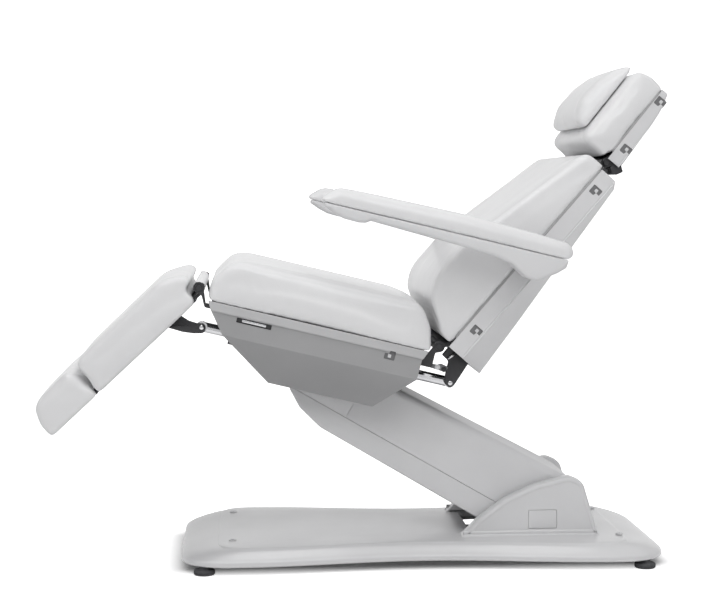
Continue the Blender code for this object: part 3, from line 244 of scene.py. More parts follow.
def tube(name, path, radius, skin, body, sides):
    # a circle carried along a path, kept square to it
    p = np.asarray(path, float)
    ahead = np.gradient(p, axis=0)
    ahead /= np.maximum(np.linalg.norm(ahead, axis=1, keepdims=True), tiny)
    up = np.where(np.abs(ahead[:, 1:2]) < 0.8, np.array([[0, 1.0, 0]]), np.array([[0, 0, 1.0]]))
    u = np.cross(ahead, up)
    u /= np.linalg.norm(u, axis=1, keepdims=True)
    v = np.cross(ahead, u)
    turn = np.linspace(0, 2 * math.pi, sides, endpoint=False)
    rings = p[:, None] + radius * (np.cos(turn)[None, :, None] * u[:, None] + np.sin(turn)[None, :, None] * v[:, None])
    return skinRings(name, rings, skin, body, sharp["never"])


# shader maths: a wrapped socket whose operators add Math nodes
class Wire:
    def __init__(self, maker, socket):
        self.maker, self.socket = maker, socket

    def __add__(self, other):
        return self.maker.maths("ADD", self, other)

    def __rsub__(self, other):
        return self.maker.maths("SUBTRACT", other, self)

    def __mul__(self, other):
        return self.maker.maths("MULTIPLY", self, other)


class Net:
    def __init__(self, owner):
        owner.use_nodes = True
        self.tree = owner.node_tree

    def node(self, kind, settings=None, out=0, **sockets):  # any node: settings first, then its sockets
        made = self.tree.nodes.new(kind)
        for key, value in (settings or {}).items():
            setattr(made, key, value)
        for key, value in sockets.items():
            self.feed(made.inputs[int(key[1:])] if key[1:].isdigit() else made.inputs[key.replace("_", " ")], value)
        return Wire(self, made.outputs[out])

    def feed(self, socket, value):
        if isinstance(value, Wire):
            self.tree.links.new(value.socket, socket)
        else:
            socket.default_value = value

    def maths(self, operation, a, b):
        return self.node("ShaderNodeMath", {"operation": operation}, i0=a, i1=b)

    def vector(self, operation, a, b=(0, 0, 0)):
        return self.node("ShaderNodeVectorMath", {"operation": operation}, i0=a, i1=b)

    def rays(self):  # one for what the camera sees, one for what glossy reflections see
        made = self.tree.nodes.new("ShaderNodeLightPath")
        return [Wire(self, made.outputs[kind]) for kind in ("Is Camera Ray", "Is Glossy Ray")]

    def clamp(self, value, low, high, toLow=0.0, toHigh=1.0):  # value between low and high spread over a new range
        return self.node("ShaderNodeMapRange", {"clamp": True}, Value=value, From_Min=low, From_Max=high,
                         To_Min=toLow, To_Max=toHigh)

    def tint(self, factor, a, b):  # colour between two by a factor
        return self.node("ShaderNodeMix", {"data_type": "RGBA"}, out=2, i0=factor, i6=(*a, 1), i7=(*b, 1))

    def bump(self, height, strength, distance, **under):
        return self.node("ShaderNodeBump", Height=height, Strength=strength, Distance=distance, **under)


class Skin(Net):
    def __init__(self, name, **fixed):
        self.material = bpy.data.materials.new(name)
        super().__init__(self.material)
        self.shader = self.tree.nodes["Principled BSDF"]
        self.wear(**fixed)
        self.where = self.node("ShaderNodeTexCoord", out="Object")

    def noise(self, scale, detail, rough=0.5):
        return self.node("ShaderNodeTexNoise", Vector=self.where, Scale=scale, Detail=detail, Roughness=rough)

    def wear(self, **sockets):
        for socket, value in sockets.items():
            self.feed(self.shader.inputs[socket.replace("_", " ")], value)
        return self.material


def greys(*levels):  # neutral colours with a trace of blue: each level is grey and blue
    return [(grey, grey, blue) for grey, blue in levels]


# noise and cell scales are per metre, bump distances in metres
leatherLook = {
    "tones": greys((0.83, 0.835), (0.79, 0.797)), "cells": 900.0, "split": 0.16, "pores": 2600.0, "blotch": 9.0,
    "wave": 26.0, "coat": 0.5, "coatRough": 0.15}


def makeLeather():
    # soft synthetic leather: crackle of small cells, finer pores, slow blotches of tone and sheen
    tones, cells, split, pores, blotch, wave, coat, coatRough = leatherLook.values()
    skin = Skin("softLeather", Roughness=0.42, Specular_IOR_Level=0.42, Coat_Roughness=coatRough, Coat_Weight=coat)
    crackle = skin.node("ShaderNodeTexVoronoi", {"feature": "DISTANCE_TO_EDGE"}, Vector=skin.where, Scale=cells)
    pores, blotch = skin.noise(pores, 2.0), skin.noise(blotch, 4.0)
    crease = skin.clamp(crackle, 0.0, split)
    tone = skin.clamp(blotch, 0.35, 0.68) * 0.75 + (1 - crease) * 0.25
    grain = skin.bump(crease * 0.7 + pores * 0.3, 0.16, 0.0004)
    wave = skin.bump(skin.noise(wave, 2.0), 0.07, 0.004, Normal=grain)
    return skin.wear(Base_Color=skin.tint(tone, *tones),
                     Roughness=skin.clamp(blotch, 0.3, 0.7, 0.36, 0.5) + (1 - crease) * 0.06, Normal=wave)


plasticLook = {
    "spark": 3400.0, "sparkDepth": 0.00025, "cloud": 5.0, "ripple": 14.0, "rippleDepth": 0.006, "coatRough": 0.22,
    "satin": (0.32, 0.44), "panel": (0.34, 0.46)}


def makePlastic(name, tones, sheen, grain, coat=0.06):
    # moulded cover: spark-eroded fine texture under a satin skin, faint flow clouds
    skin = Skin(name, Roughness=0.38, Specular_IOR_Level=0.5, Coat_Roughness=plasticLook["coatRough"], Coat_Weight=coat)
    spark = skin.noise(plasticLook["spark"], 2.0, 0.6)
    cloud = skin.noise(plasticLook["cloud"], 5.0)
    ripple = skin.bump(skin.noise(plasticLook["ripple"], 1.0), 0.03, plasticLook["rippleDepth"])
    return skin.wear(Base_Color=skin.tint(skin.clamp(cloud, 0.35, 0.7), *tones),
                     Roughness=skin.clamp(cloud, 0.3, 0.7, *sheen),
                     Normal=skin.bump(spark, grain, plasticLook["sparkDepth"], Normal=ripple))


coatLook = {"peel": 850.0, "speck": 130.0, "rub": 16.0, "speckShare": 0.25, "rubShare": 0.18}


def makeCoat(name, tones, roughness):
    # powder coat over steel: orange peel, with dust and rub marks as paler specks
    skin = Skin(name, Metallic=0.15, Roughness=roughness, Specular_IOR_Level=0.5)
    peel = skin.noise(coatLook["peel"], 2.0)
    speck = skin.clamp(skin.noise(coatLook["speck"], 6.0, 0.7), 0.62, 0.74)
    rub = skin.clamp(skin.noise(coatLook["rub"], 4.0), 0.4, 0.75)
    return skin.wear(Base_Color=skin.tint(speck * coatLook["speckShare"] + rub * coatLook["rubShare"], *tones),
                     Roughness=skin.clamp(rub, 0.0, 1.0, roughness - 0.08, roughness + 0.12),
                     Normal=skin.bump(peel, 0.22, 0.0003))


metalLook = {"scratch": (12.0, 900.0, 900.0), "haze": 30.0}


def makeMetal(name, tones, roughness, brush):
    # bright metal: long thin scratches along x, and a haze of handling
    skin = Skin(name, Metallic=1.0, Roughness=roughness)
    lines = skin.node("ShaderNodeMapping", Vector=skin.where, Scale=metalLook["scratch"])
    scratch = skin.node("ShaderNodeTexNoise", Vector=lines, Scale=1.0, Detail=3.0)
    haze = skin.noise(metalLook["haze"], 4.0)
    return skin.wear(Base_Color=skin.tint(skin.clamp(haze, 0.35, 0.7), *tones),
                     Roughness=skin.clamp(haze, 0.3, 0.75, roughness, roughness + 0.1) + scratch * brush,
                     Normal=skin.bump(scratch, 0.08, 0.0002))


rubberLook = {"tones": greys((0.075, 0.08), (0.12, 0.125)), "bloom": 40.0, "crumb": 1500.0}


def makeRubber(name):
    # matt rubber: bloom in pale clouds, fine crumb
    skin = Skin(name, Roughness=0.8, Specular_IOR_Level=0.3)
    bloom = skin.noise(rubberLook["bloom"], 5.0)
    crumb = skin.noise(rubberLook["crumb"], 2.0)
    return skin.wear(Base_Color=skin.tint(skin.clamp(bloom, 0.4, 0.75), *rubberLook["tones"]),
                     Roughness=skin.clamp(bloom, 0.3, 0.7, 0.7, 0.9), Normal=skin.bump(crumb, 0.3, 0.0004))


leather = makeLeather()
plastic = makePlastic("satinCover", greys((0.755, 0.763), (0.71, 0.72)), plasticLook["satin"], 0.12)
basePlastic = makePlastic("baseCover", greys((0.745, 0.753), (0.705, 0.713)), plasticLook["satin"], 0.12, 0.7)
# painted shade: a darker copy of the cover plastic for the side panels, the front cover and the seam beads, for the
# shade under the seat
shadedPanelPlastic = makePlastic("shadedPanelCover", greys((0.385, 0.39), (0.35, 0.355)), plasticLook["panel"], 0.14)
# painted shade: dark grey for the shade inside the clip pockets
pocketShadeGrey = makePlastic("pocketShadeGrey", greys((0.2, 0.205), (0.17, 0.175)), (0.4, 0.55), 0.2)
# painted shade: a less darkened copy of the cover plastic for the lip of the side panels
lipShadePlastic = makePlastic("lipShadeCover", greys((0.56, 0.566), (0.52, 0.526)), plasticLook["panel"], 0.14)
darkCoat = makeCoat("darkPowderCoat", greys((0.035, 0.038), (0.085, 0.09)), 0.42)
greyCoat = makeCoat("greyPowderCoat", greys((0.17, 0.175), (0.24, 0.245)), 0.4)
chrome = makeMetal("polishedSteel", greys((0.62, 0.63), (0.52, 0.54)), 0.09, 0.06)
zinc = makeMetal("zincScrew", greys((0.62, 0.63), (0.5, 0.52)), 0.22, 0.12)
footRubber = makeRubber("footRubber")
motorCase = makePlastic("motorCase", greys((0.045, 0.05), (0.03, 0.034)), (0.45, 0.6), 0.3)
print("materials made:", len(bpy.data.materials))


# padded pieces: side outline (x, z, corner radius) in the group's own place, swelled by cloth pressure
# lip: the long sides hang lower than the underside beyond y = at, over a short run
padForm = {"points": 110, "corner": 10, "rows": 15, "rim": 7, "at": 0.243, "run": 0.006}
clothForm = {"quality": 5, "mass": 0.3, "bending": 1.5, "frames": 20}
swellForm = {"board": 0.004, "quickShare": 0.6, "least": 1e-9}


def padStart(pad):
    # outline carried across the width; the top and the ends draw in by a quarter round towards both sides,
    # the underside keeps its size, the top is crowned and the long sides pull in between the corners
    points, corner, rows, rimSteps, lip, run = padForm.values()
    line = evenly(arcCorners(pad["outline"], corner), points)
    low, high = line[:, 1].min(), line[:, 1].max()
    left, right = line[:, 0].min(), line[:, 0].max()
    half, edge = pad["half"] - pad["under"], pad["edge"]
    turn = np.linspace(0, quarter, rimSteps)
    rim = np.stack([half - edge + edge * np.sin(turn), edge * (1 - np.cos(turn))], 1)[::-1]
    inside = np.linspace(-(half - edge), half - edge, rows)[1:-1]
    inside = np.concatenate([inside, [-lip - run, -lip, lip, lip + run]])
    inside = np.unique(inside[np.abs(inside) < half - edge])
    ys = np.concatenate([-rim[:, 0], inside, rim[::-1, 0]])
    ins = np.concatenate([rim[:, 1], np.zeros(len(inside)), rim[::-1, 1]])
    y, inset = ys[:, None], ins[:, None] + pad["under"]
    x, z = line[None, :, 0], line[None, :, 1]
    up = (z - low) / (high - low)
    mid = 0.5 * (left + right)
    xs = mid + (x - mid) * (1 - 2 * inset * np.clip(up * 2.5, 0.25, 1) / (right - left))
    zs = low + (z - low) * (1 - inset / (high - low)) + pad["crown"] * (1 - (y / half) ** 2) * up ** 2
    pull = 1 - pad["pull"] * (1 - (2 * (x - mid) / (right - left)) ** 2)
    zs = zs - pad["lip"] * np.clip(1 - up * 4, 0, 1) * np.clip((np.abs(y) - lip) / run, 0, 1)
    return np.stack([xs, y * pull + 0 * xs, zs], -1), low


def inflated(piece, pad, held):  # vertices after a short cloth run under pressure, the held ones kept still
    quality, mass, bending, frames = clothForm.values()
    group = piece.vertex_groups.new(name="board")
    group.add([int(i) for i in held], 1.0, "REPLACE")
    cloth = piece.modifiers.new("swell", "CLOTH")
    ways = cloth.settings
    ways.quality, ways.mass, ways.bending_stiffness = quality, mass, bending
    ways.tension_stiffness = ways.compression_stiffness = ways.shear_stiffness = pad["tight"]
    ways.use_pressure, ways.uniform_pressure_force = True, pad["pressure"]
    ways.vertex_group_mass = "board"
    ways.effector_weights.gravity = 0.0
    cloth.point_cache.frame_start, cloth.point_cache.frame_end = 1, frames
    scene = bpy.context.scene
    for step in range(1, frames + 1):
        scene.frame_set(step)
    done = settled(piece)
    moved = np.empty(len(done.vertices) * 3)
    done.vertices.foreach_get("co", moved)
    bpy.data.meshes.remove(done)
    piece.vertex_groups.clear()
    scene.frame_set(1)
    return moved.reshape(-1, 3)


def swell(piece, pad, place, low):
    # each vertex moves by cap times tanh of its shift over cap, and not below the underside or the lip
    mesh = piece.data
    start = np.empty(len(mesh.vertices) * 3)
    mesh.vertices.foreach_get("co", start)
    start = start.reshape(-1, 3)
    held = np.nonzero(toLocal(start, place)[:, 2] < low + swellForm["board"])[0]
    shift = inflated(piece, pad, held) - start
    size = np.maximum(np.linalg.norm(shift, axis=1, keepdims=True), swellForm["least"])
    shift *= pad["cap"] * np.tanh(size / pad["cap"]) / size
    local = toLocal(start + shift, place)
    local[:, 2] = np.maximum(local[:, 2], low - pad["lip"] * (np.abs(local[:, 1]) > padForm["at"]))
    mesh.vertices.foreach_set("co", toWorld(local, place).ravel())
    mesh.update()


def makePad(name, pad, place, body, node, side=0.0):
    rings, low = padStart(pad)
    rings[..., 1] += side
    piece = skinRings(name, laid(rings, place), leather, None, sharp["never"])
    remesh = piece.modifiers.new("even", "REMESH")
    remesh.mode, remesh.voxel_size = "VOXEL", pad["voxel"]
    relax = piece.modifiers.new("relax", "SMOOTH")
    relax.factor, relax.iterations = 0.5, 4
    piece.data = settled(piece)
    swell(piece, pad, place, low)
    smooth = piece.modifiers.new("smooth", "SMOOTH")
    smooth.factor, smooth.iterations = 0.5, pad["soften"]
    finer = piece.modifiers.new("finer", "SUBSURF")
    finer.levels = finer.render_levels = 1
    dressed(piece, settled(piece), leather)
    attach(piece, body)
    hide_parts(node)
    print("padded:", name, len(piece.data.polygons), "faces")


foam = {
    "under": 0.005, "edge": 0.017, "crown": 0.012, "pull": 0.012, "tight": 22.0, "pressure": 4.0, "cap": 0.003,
    "voxel": 0.0062, "soften": 3, "fill": 0.85, "lip": 0.0}
seatPad = dict(foam, half=0.299, crown=0.009, outline=[
    (-0.2585, 0.0, 0.006), (0.2565, 0.0, 0.006), (0.254, 0.052, 0.038), (0.22, 0.104, 0.034),
    (-0.2305, 0.104, 0.045), (-0.2705, 0.042, 0.034)])
backPad = dict(foam, half=0.295, edge=0.01, crown=0.003, pull=0.006, cap=0.0018, outline=[
    (0.02, -0.01, 0.005), (0.553, -0.01, 0.005), (0.557, 0.044, 0.016), (0.23, 0.119, 0.2),
    (0.102, 0.1185, 0.07), (0.06, 0.094, 0.018), (0.031, 0.038, 0.016), (0.02, 0.026, 0.008)])
legPad = dict(foam, half=0.295, edge=0.013, crown=0.006, pull=0.004, cap=0.0024, lip=0.0115, outline=[
    (-0.324, -0.007, 0.006), (-0.024, -0.007, 0.003), (-0.02, 0.0235, 0.004), (0.008, 0.0225, 0.008),
    (0.003, 0.05, 0.03), (-0.05, 0.074, 0.05), (-0.324, 0.071, 0.018)])
footPad = dict(foam, half=0.295, edge=0.013, crown=0.005, pull=0.004, cap=0.0024, voxel=0.0055, lip=0.0115, outline=[
    (-0.327, -0.007, 0.004), (-0.327, 0.07, 0.018), (-0.453, 0.064, 0.03), (-0.471, 0.022, 0.03),
    (-0.467, -0.007, 0.008)])
headPad = dict(foam, half=0.215, edge=0.013, crown=0.002, pull=0.006, cap=0.0024, voxel=0.0055, outline=[
    (0.0, 0.017, 0.004), (0.018, 0.0155, 0.003), (0.022, 0.0065, 0.003), (0.212, 0.0065, 0.006),
    (0.224, 0.042, 0.03), (0.216, 0.0835, 0.018), (0.0, 0.0835, 0.018)])
neckPad = dict(foam, half=0.17, edge=0.026, crown=0.0, pull=0.03, cap=0.0036, voxel=0.005, pressure=5.0, fill=0.7,
               outline=[
    (0.034, 0.0838, 0.012), (0.206, 0.0838, 0.008), (0.222, 0.0918, 0.008), (0.195, 0.1148, 0.03),
    (0.14, 0.1318, 0.04), (0.076, 0.1358, 0.036), (0.024, 0.1118, 0.026)])
armPad = dict(foam, half=0.041, under=0.002, edge=0.016, crown=0.004, pull=0.02, cap=0.0022, voxel=0.0045, outline=[
    (-0.495, 0.032, 0.006), (0.066, 0.032, 0.006), (0.078, 0.05, 0.014), (0.06, 0.067, 0.016),
    (-0.175, 0.074, 0.1), (-0.468, 0.069, 0.024), (-0.5, 0.04, 0.01)])
armMiddle = 0.362
makePad("seatUpholstery", seatPad, "seat", "seat", "seat_cushion")
makePad("backUpholstery", backPad, "back", "back", "back_cushion")
makePad("legUpholstery", legPad, "leg", "leg_rest", "legrest_cushion")
makePad("footUpholstery", footPad, "leg", "foot_rest", "foot_cushion")
makePad("headUpholstery", headPad, "head", "headrest", "headrest_cushion")
makePad("neckPillow", neckPad, "head", "headrest", "head_pillow")
makePad("armPadNear", armPad, "armrest", "armrest_near", "armrest_pad_near", -armMiddle)
makePad("armPadFar", armPad, "armrest", "armrest_far", "armrest_pad_far", armMiddle)


# base moulding: a waisted rounded rectangle, ring by ring from the rim to the well round the arm
# rise: how far each ring lies in from the ends and from the sides, and its height
baseForm = {
    "x": 0.565, "y": 0.273, "middle": 0.16, "corner": 0.12, "waist": 0.044, "points": 280, "wall": 0.003,
    "rise": [(0.007, 0.007, 0.0215), (0.002, 0.002, 0.0203), (0.0, 0.0, 0.0225), (0.0, 0.0, 0.03),
        (0.0016, 0.0014, 0.033), (0.005, 0.004, 0.0356), (0.014, 0.0085, 0.0405), (0.032, 0.013, 0.0465),
        (0.056, 0.018, 0.0526), (0.075, 0.0215, 0.0558), (0.0835, 0.0232, 0.0564), (0.085, 0.024, 0.0568),
        (0.0862, 0.0255, 0.0586), (0.089, 0.0285, 0.0597), (0.094, 0.0335, 0.0602), (0.112, 0.052, 0.0615),
        (0.13, 0.072, 0.0627), (0.15, 0.092, 0.0635)],
    "well": (0.279, 0.547, 0.126), "wellCorner": 0.012,
    "wellRim": [(0.0015, 0.064), (0.0005, 0.0637), (0.0, 0.063), (0.0, 0.059)]}
screwForm = {
    "at": [("Foot", -0.286, 0.168), ("Head", 0.628, 0.16)], "headUp": 0.0637, "cupUp": 0.0638,
    "head": [(0.0001, -0.0006), (0.0021, -0.0006), (0.0024, 0.0008), (0.0044, 0.0008), (0.0056, 0.0002),
        (0.0058, -0.001)],
    "cup": [(0.0062, -0.002), (0.0062, 0.0003), (0.008, 0.0006), (0.009, 0.0001), (0.009, -0.002)]}


def baseRing(endIn, sideIn):
    # straight ends, arcs at the corners, long sides drawn in by waist times a squared cosine
    x, y = baseForm["x"] - endIn, baseForm["y"] - sideIn
    corner = baseForm["corner"] - 0.5 * endIn
    line = evenly(boxLine(-x, x, -y, y, corner, 16), baseForm["points"])
    share = np.clip(np.abs(line[:, 0]) / (x - corner), 0, 1)
    line[:, 1] -= np.sign(line[:, 1]) * baseForm["waist"] * np.cos(quarter * share) ** 2
    line[:, 0] += baseForm["middle"]
    return line


def level(line, z):  # a line in x and y set at one height
    return np.column_stack([line, np.full(len(line), z)])


def makeBase():
    rings = [level(baseRing(e, s), z) for e, s, z in baseForm["rise"]]
    low, high, half = baseForm["well"]
    # the well's points lie on the same bearings from its middle as the last ring's
    dense, middle = evenly(boxLine(low, high, -half, half, baseForm["wellCorner"], 8), 2400), (0.5 * (low + high), 0.0)
    bearing, want = (np.arctan2(p[:, 1], p[:, 0]) for p in (dense - middle, rings[-1][:, :2] - middle))
    well = np.stack([np.interp(want, bearing, dense[:, k], period=2 * math.pi) for k in (0, 1)], 1)
    rings += [level(drawIn(well, -out), z) for out, z in baseForm["wellRim"]]
    base = skinRings("baseMoulding", np.stack(rings), basePlastic, "base", caps=False)
    thicken(base, baseForm["wall"])
    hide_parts("base_cover")
    spots, headUp, cupUp, head, cup = screwForm.values()
    for end, x, y in spots:
        for tag, side in bothSides:
            lathe("coverScrew" + end + tag, head, (x, side * y, headUp), (0, 0, 1), zinc, "base", 24)
            lathe("screwCup" + end + tag, cup, (x, side * y, cupUp), (0, 0, 1), basePlastic, "base",
                  28)


# levelling feet: radius and height
footForm = {
    "at": [("foot", -0.35), ("head", 0.67)], "y": 0.243,
    "profile": [(0.0002, 0.0), (0.019, 0.0), (0.0225, 0.0008), (0.0243, 0.003), (0.0246, 0.0056), (0.0236, 0.006),
        (0.0236, 0.0068), (0.0246, 0.0072), (0.0243, 0.01), (0.0225, 0.0122), (0.015, 0.0132), (0.0132, 0.014),
        (0.0122, 0.015), (0.0122, 0.0199), (0.0002, 0.0199)]}


def makeFeet():
    for end, x in footForm["at"]:
        for tag, side in bothSides:
            foot = lathe(f"levelling{end.title()}{tag}", footForm["profile"], (x, side * footForm["y"], 0.0), (0, 0, 1),
                         footRubber, "base", 40)
            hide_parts(f"levelling_foot_{end}_{tag.lower()}")


makeBase()
makeFeet()
print("base made")


# pivot housings: an arched side with a raised rim and an access plate
# rim: how far each ring lies in from the outline, and out from the inner face
cheekForm = {
    "outline": [(0.252, 0.0629, 0.0), (0.577, 0.0629, 0.0), (0.539, 0.1883, 0.03), (0.507, 0.2023, 0.03),
        (0.425, 0.1823, 0.08), (0.353, 0.1493, 0.08), (0.292, 0.1043, 0.04)],
    "foot": 0.0629, "inner": 0.13, "face": 0.1643,
    "rim": [(0.004, 0.0), (0.0008, 0.0015), (0.0, 0.004), (0.0, 0.03), (0.0012, 0.0332), (0.0032, 0.0352),
        (0.0056, 0.036), (0.0088, 0.036), (0.01, 0.0357), (0.0112, 0.0347), (0.0124, 0.0343)]}
hatchForm = {"ends": (0.4095, 0.4765), "corner": 0.003, "gap": 0.0011, "deep": 0.0032, "run": (0.003, 0.0003)}
coveForm = {
    "ends": (0.251, 0.579), "past": 0.002, "fade": 0.014, "radius": 0.0052, "inside": 0.164, "wall": 0.1656,
    "lip": 0.0006, "under": 0.0622, "floor": 0.0634}


def makeCove(tag, side):
    # hollow fillet between the housing and the base moulding, running out at both ends
    (start, end), past, fade, radius, inside, wall, lip, under, floor = coveForm.values()
    rings = []
    for x in np.linspace(start, end, 48):
        r = radius * min(1, (x - start + past) / fade, (end + past - x) / fade)
        line = [(inside, under), (wall + lip + r, under)]
        line += [(wall + r * (1 - math.sin(t)), floor + r * (1 - math.cos(t))) for t in np.linspace(0, quarter, 7)]
        line += [(inside, floor + r)]
        rings.append([(x, side * y, z) for y, z in line])
    skinRings("housingCove" + tag, np.array(rings), basePlastic, "base", sharp["slab"])


def makeCheek(tag, side):
    line = evenly(arcCorners(cheekForm["outline"], 12), 260)
    rings = []
    for inset, out in cheekForm["rim"]:
        p = drawIn(line, inset)
        p[:, 1] = np.maximum(p[:, 1], cheekForm["foot"])
        rings.append(standing(p, side * (cheekForm["inner"] + out)))
    cheek = skinRings("pivotHousing" + tag, np.stack(rings), basePlastic, "base")
    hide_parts("cheek_" + tag.lower())
    low, high = (corner.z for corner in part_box("access_hatch_" + tag.lower()))
    ends, corner, gap, deep, run = hatchForm.values()
    plateLine, face = boxLine(*ends, low, high, corner, 5), cheekForm["face"]
    recess = softSlab("recess", drawIn(plateLine, -gap), *across(side, face - deep, face + 0.01), 0.0002, "base",
                      plastic, None, None, 1)
    carve(cheek, [recess])
    plate = softSlab("accessPlate" + tag, plateLine, *across(side, *(face - depth for depth in run)), 0.0008, "base",
                     basePlastic, "base", "cover_plastic", 3)
    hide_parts("access_hatch_" + tag.lower())
    makeCove(tag, side)


for tag, side in bothSides:
    makeCheek(tag, side)


# arm covers, split along a seam: an upturned trough above, a pan below, and two ears and a nose at the upper end
armForm = {
    "half": 0.124, "wall": 0.004, "split": -0.046, "edge": 0.019, "step": -0.519, "rear": -0.1, "end": 0.0705,
    "lowEdge": 0.005, "lean": 0.0065, "points": 300, "seam": 0.0012, "top": [(-0.519, 0.0698), (0.03, 0.091),
    (0.0705, 0.055)],
    "lower": [(-0.1, -0.0463, 0.0), (-0.6725, -0.0463, 0.0), (-0.6652, -0.0544, 0.006), (-0.6248, -0.0795, 0.04),
        (-0.56, -0.0965, 0.06), (-0.1, -0.101, 0.0)],
    "ear": [(-0.518, -0.046, 0.0), (-0.518, 0.03, 0.0), (-0.68, 0.03, 0.012), (-0.6725, -0.046, 0.0)],
    "nose": [(-0.6725, -0.046, 0.0), (-0.668, -0.046, 0.0), (-0.6735, 0.01, 0.001), (-0.678, 0.01, 0.001)]}


def armSection(x, top):
    # wall up from the seam, quarter round, flat top, and the same down again; near the low end the foot leans in
    half, edge, split = armForm["half"], armForm["edge"], armForm["split"]
    side = [(-half + 0.0006, split), (-half + 0.0001, split + 0.0006)]
    side += [(-half, z) for z in np.linspace(split + 0.0015, top - edge, 10)[:-1]]
    side += [(-half + edge * (1 - math.cos(t)), top - edge * (1 - math.sin(t))) for t in np.linspace(0, quarter, 10)]
    over = [(y, top) for y in np.linspace(-half + edge, half - edge, 14)[1:-1]]
    line = np.array(side + over + [(-y, z) for y, z in reversed(side)])
    lean = armForm["lean"] * np.clip(x / 0.07, 0, 1) * np.clip((0.055 - line[:, 1]) / 0.101, 0, 1)
    return np.stack([x - lean, line[:, 0], line[:, 1]], 1)


def makeArmCover():
    half, wall, step = armForm["half"], armForm["wall"], armForm["step"]
    xs = np.concatenate([[step, step + 0.001], np.linspace(-0.51, -0.01, 40), np.linspace(0, armForm["end"], 24)])
    tops = blurred(xs, armForm["top"], 0.014)
    tops[:2] -= (0.0008, 0.0001)
    rings = np.stack([armSection(x, t) for x, t in zip(xs, tops)])
    cover = meshPiece("armShellUpper", toWorld(rings, "arm"), gridFaces(*rings.shape[:2], False), plastic, "lift_arm")
    thicken(cover, wall)
    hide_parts("arm_cover_upper")
    for tag, side in bothSides:
        softSlab("armEar" + tag, arcCorners(armForm["ear"], 8), *across(side, half - wall, half), 0.0006, "arm",
                 plastic, "lift_arm", "cover_plastic", 3)
    reach = half - wall + 0.001
    softSlab("armNose", arcCorners(armForm["nose"], 3), -reach, reach, 0.0004, "arm", plastic, "lift_arm",
             "cover_plastic", 2)


def makeArmPan():
    # the lower cover is left open along the seam and at its rear
    half, split, rear, points = (armForm[k] for k in ("half", "split", "rear", "points"))
    line = evenly(arcCorners(armForm["lower"], 12), points)
    away = split - line[:, 1]
    mask = np.clip(0.1 + (away - 0.002) / 0.012, 0.1, 1) * np.clip((rear - line[:, 0]) / 0.006, 0, 1)
    rings = slabRings(line, -half, half, armForm["lowEdge"], 6, mask)
    rows = len(rings)
    after = np.roll(line, -1, 0)
    seam = (away < armForm["seam"]) & (split - after[:, 1] < armForm["seam"])
    seam |= np.minimum(line[:, 0], after[:, 0]) > rear - 0.0015
    quads = np.array(gridFaces(rows, points)).reshape(rows - 1, points, 4)[:, ~seam].reshape(-1, 4).tolist()
    pan = meshPiece("armShellLower", toWorld(rings, "arm"), quads + endCaps(rows, points), plastic, "lift_arm")
    thicken(pan, armForm["wall"])
    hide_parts("arm_cover_lower")


makeArmCover()
makeArmPan()
print("arm covers made")


# clip pockets in the covers: a rounded square with one corner stepped in, and a sprung tab; lengths as shares of size
clipForm = {
    "size": (0.0125, 0.0105), "run": (0.003, 0.02),
    "square": [(-1, -1, 0.003), (1, -1, 0.003), (1, 1, 0.003), (-1, 1, 0.003)],
    "pocket": [(-1, -1, 0.003), (1, -1, 0.003), (1, 1, 0.003), (-0.1, 1, 0.002), (-0.25, 0.25, 0.002),
        (-1, 0.35, 0.002)],
    "tab": [(-0.35, -0.55, 0.0015), (0.25, -0.55, 0.0015), (0.25, 0.15, 0.0015), (-0.35, 0.3, 0.0015)],
    "squareRun": (0.0038, 0.0029), "tabRun": (0.003, 0.001), "edge": 0.0004}


def clipLine(corners, steps, centre, turn):
    w, h = clipForm["size"]
    line = arcCorners([(x * w, z * h, r) for x, z, r in corners], steps)
    c, s = math.cos(turn), math.sin(turn)
    return np.stack([centre[0] + line[:, 0] * c - line[:, 1] * s, centre[1] + line[:, 0] * s + line[:, 1] * c], 1)


def clipRecess(centre, turn, place, half, side):
    depth, past = clipForm["run"]
    return toolPrism(clipLine(clipForm["pocket"], 4, centre, turn), *across(side, half - depth, half + past), place)


def clipSocket(name, centre, turn, place, half, side, body):
    # painted shade: a dark grey plate lines the pocket floor for the shade in the recess, and a pale sprung tab stands
    # in it
    for tag, form, steps, skin in (("Floor", "square", 4, pocketShadeGrey), ("Tab", "tab", 3, plastic)):
        corners, ends = clipForm[form], across(side, *(half - depth for depth in clipForm[form + "Run"]))
        softSlab(name + tag, clipLine(corners, steps, centre, turn), *ends, clipForm["edge"], place, skin, body,
                 "cover_plastic", 2)


# seat side panels: stacked rounded rectangles, each height with its own half width, front and rear
# rows: heights of the rings, closer together at the creases; rim: how far the first and last rings draw in
skirtForm = {
    "levels": [(-0.0003, 0.29, -0.2585, 0.2505), (-0.0195, 0.29, -0.2485, 0.2425), (-0.0225, 0.285, -0.2465, 0.2405),
        (-0.069, 0.285, -0.2105, 0.2395), (-0.16, 0.203, -0.0835, 0.1635)],
    "rows": [(-0.0003, -0.0003, 1), (-0.0008, -0.0008, 1), (-0.0016, -0.0016, 1), (-0.003, -0.016, 5),
        (-0.0175, -0.0245, 12), (-0.027, -0.064, 9), (-0.0655, -0.0725, 9), (-0.076, -0.157, 12),
        (-0.1584, -0.1584, 1), (-0.1594, -0.1594, 1), (-0.16, -0.16, 1)],
    "rim": [(-0.16, 0.0011), (-0.1594, 0.0004), (-0.1584, 0), (-0.0016, 0), (-0.0008, 0.0004), (-0.0003, 0.0011)],
    "blur": (0.0011, 0.002, 0.002), "wall": 0.004, "soft": 0.0014}
slotForm = {
    "lip": -0.0212, "face": 0.285, "hook": (0.167, -0.0285), "slot": (-0.187, -0.107, -0.0342, -0.0227),
    "slotRun": (0.26, 0.31), "plate": (-0.195, -0.099, -0.0422, -0.0166), "plateRun": (0.2777, 0.2807),
    "bar": (-0.175, -0.119, -0.0312, -0.0252), "barRun": (0.2807, 0.2836)}


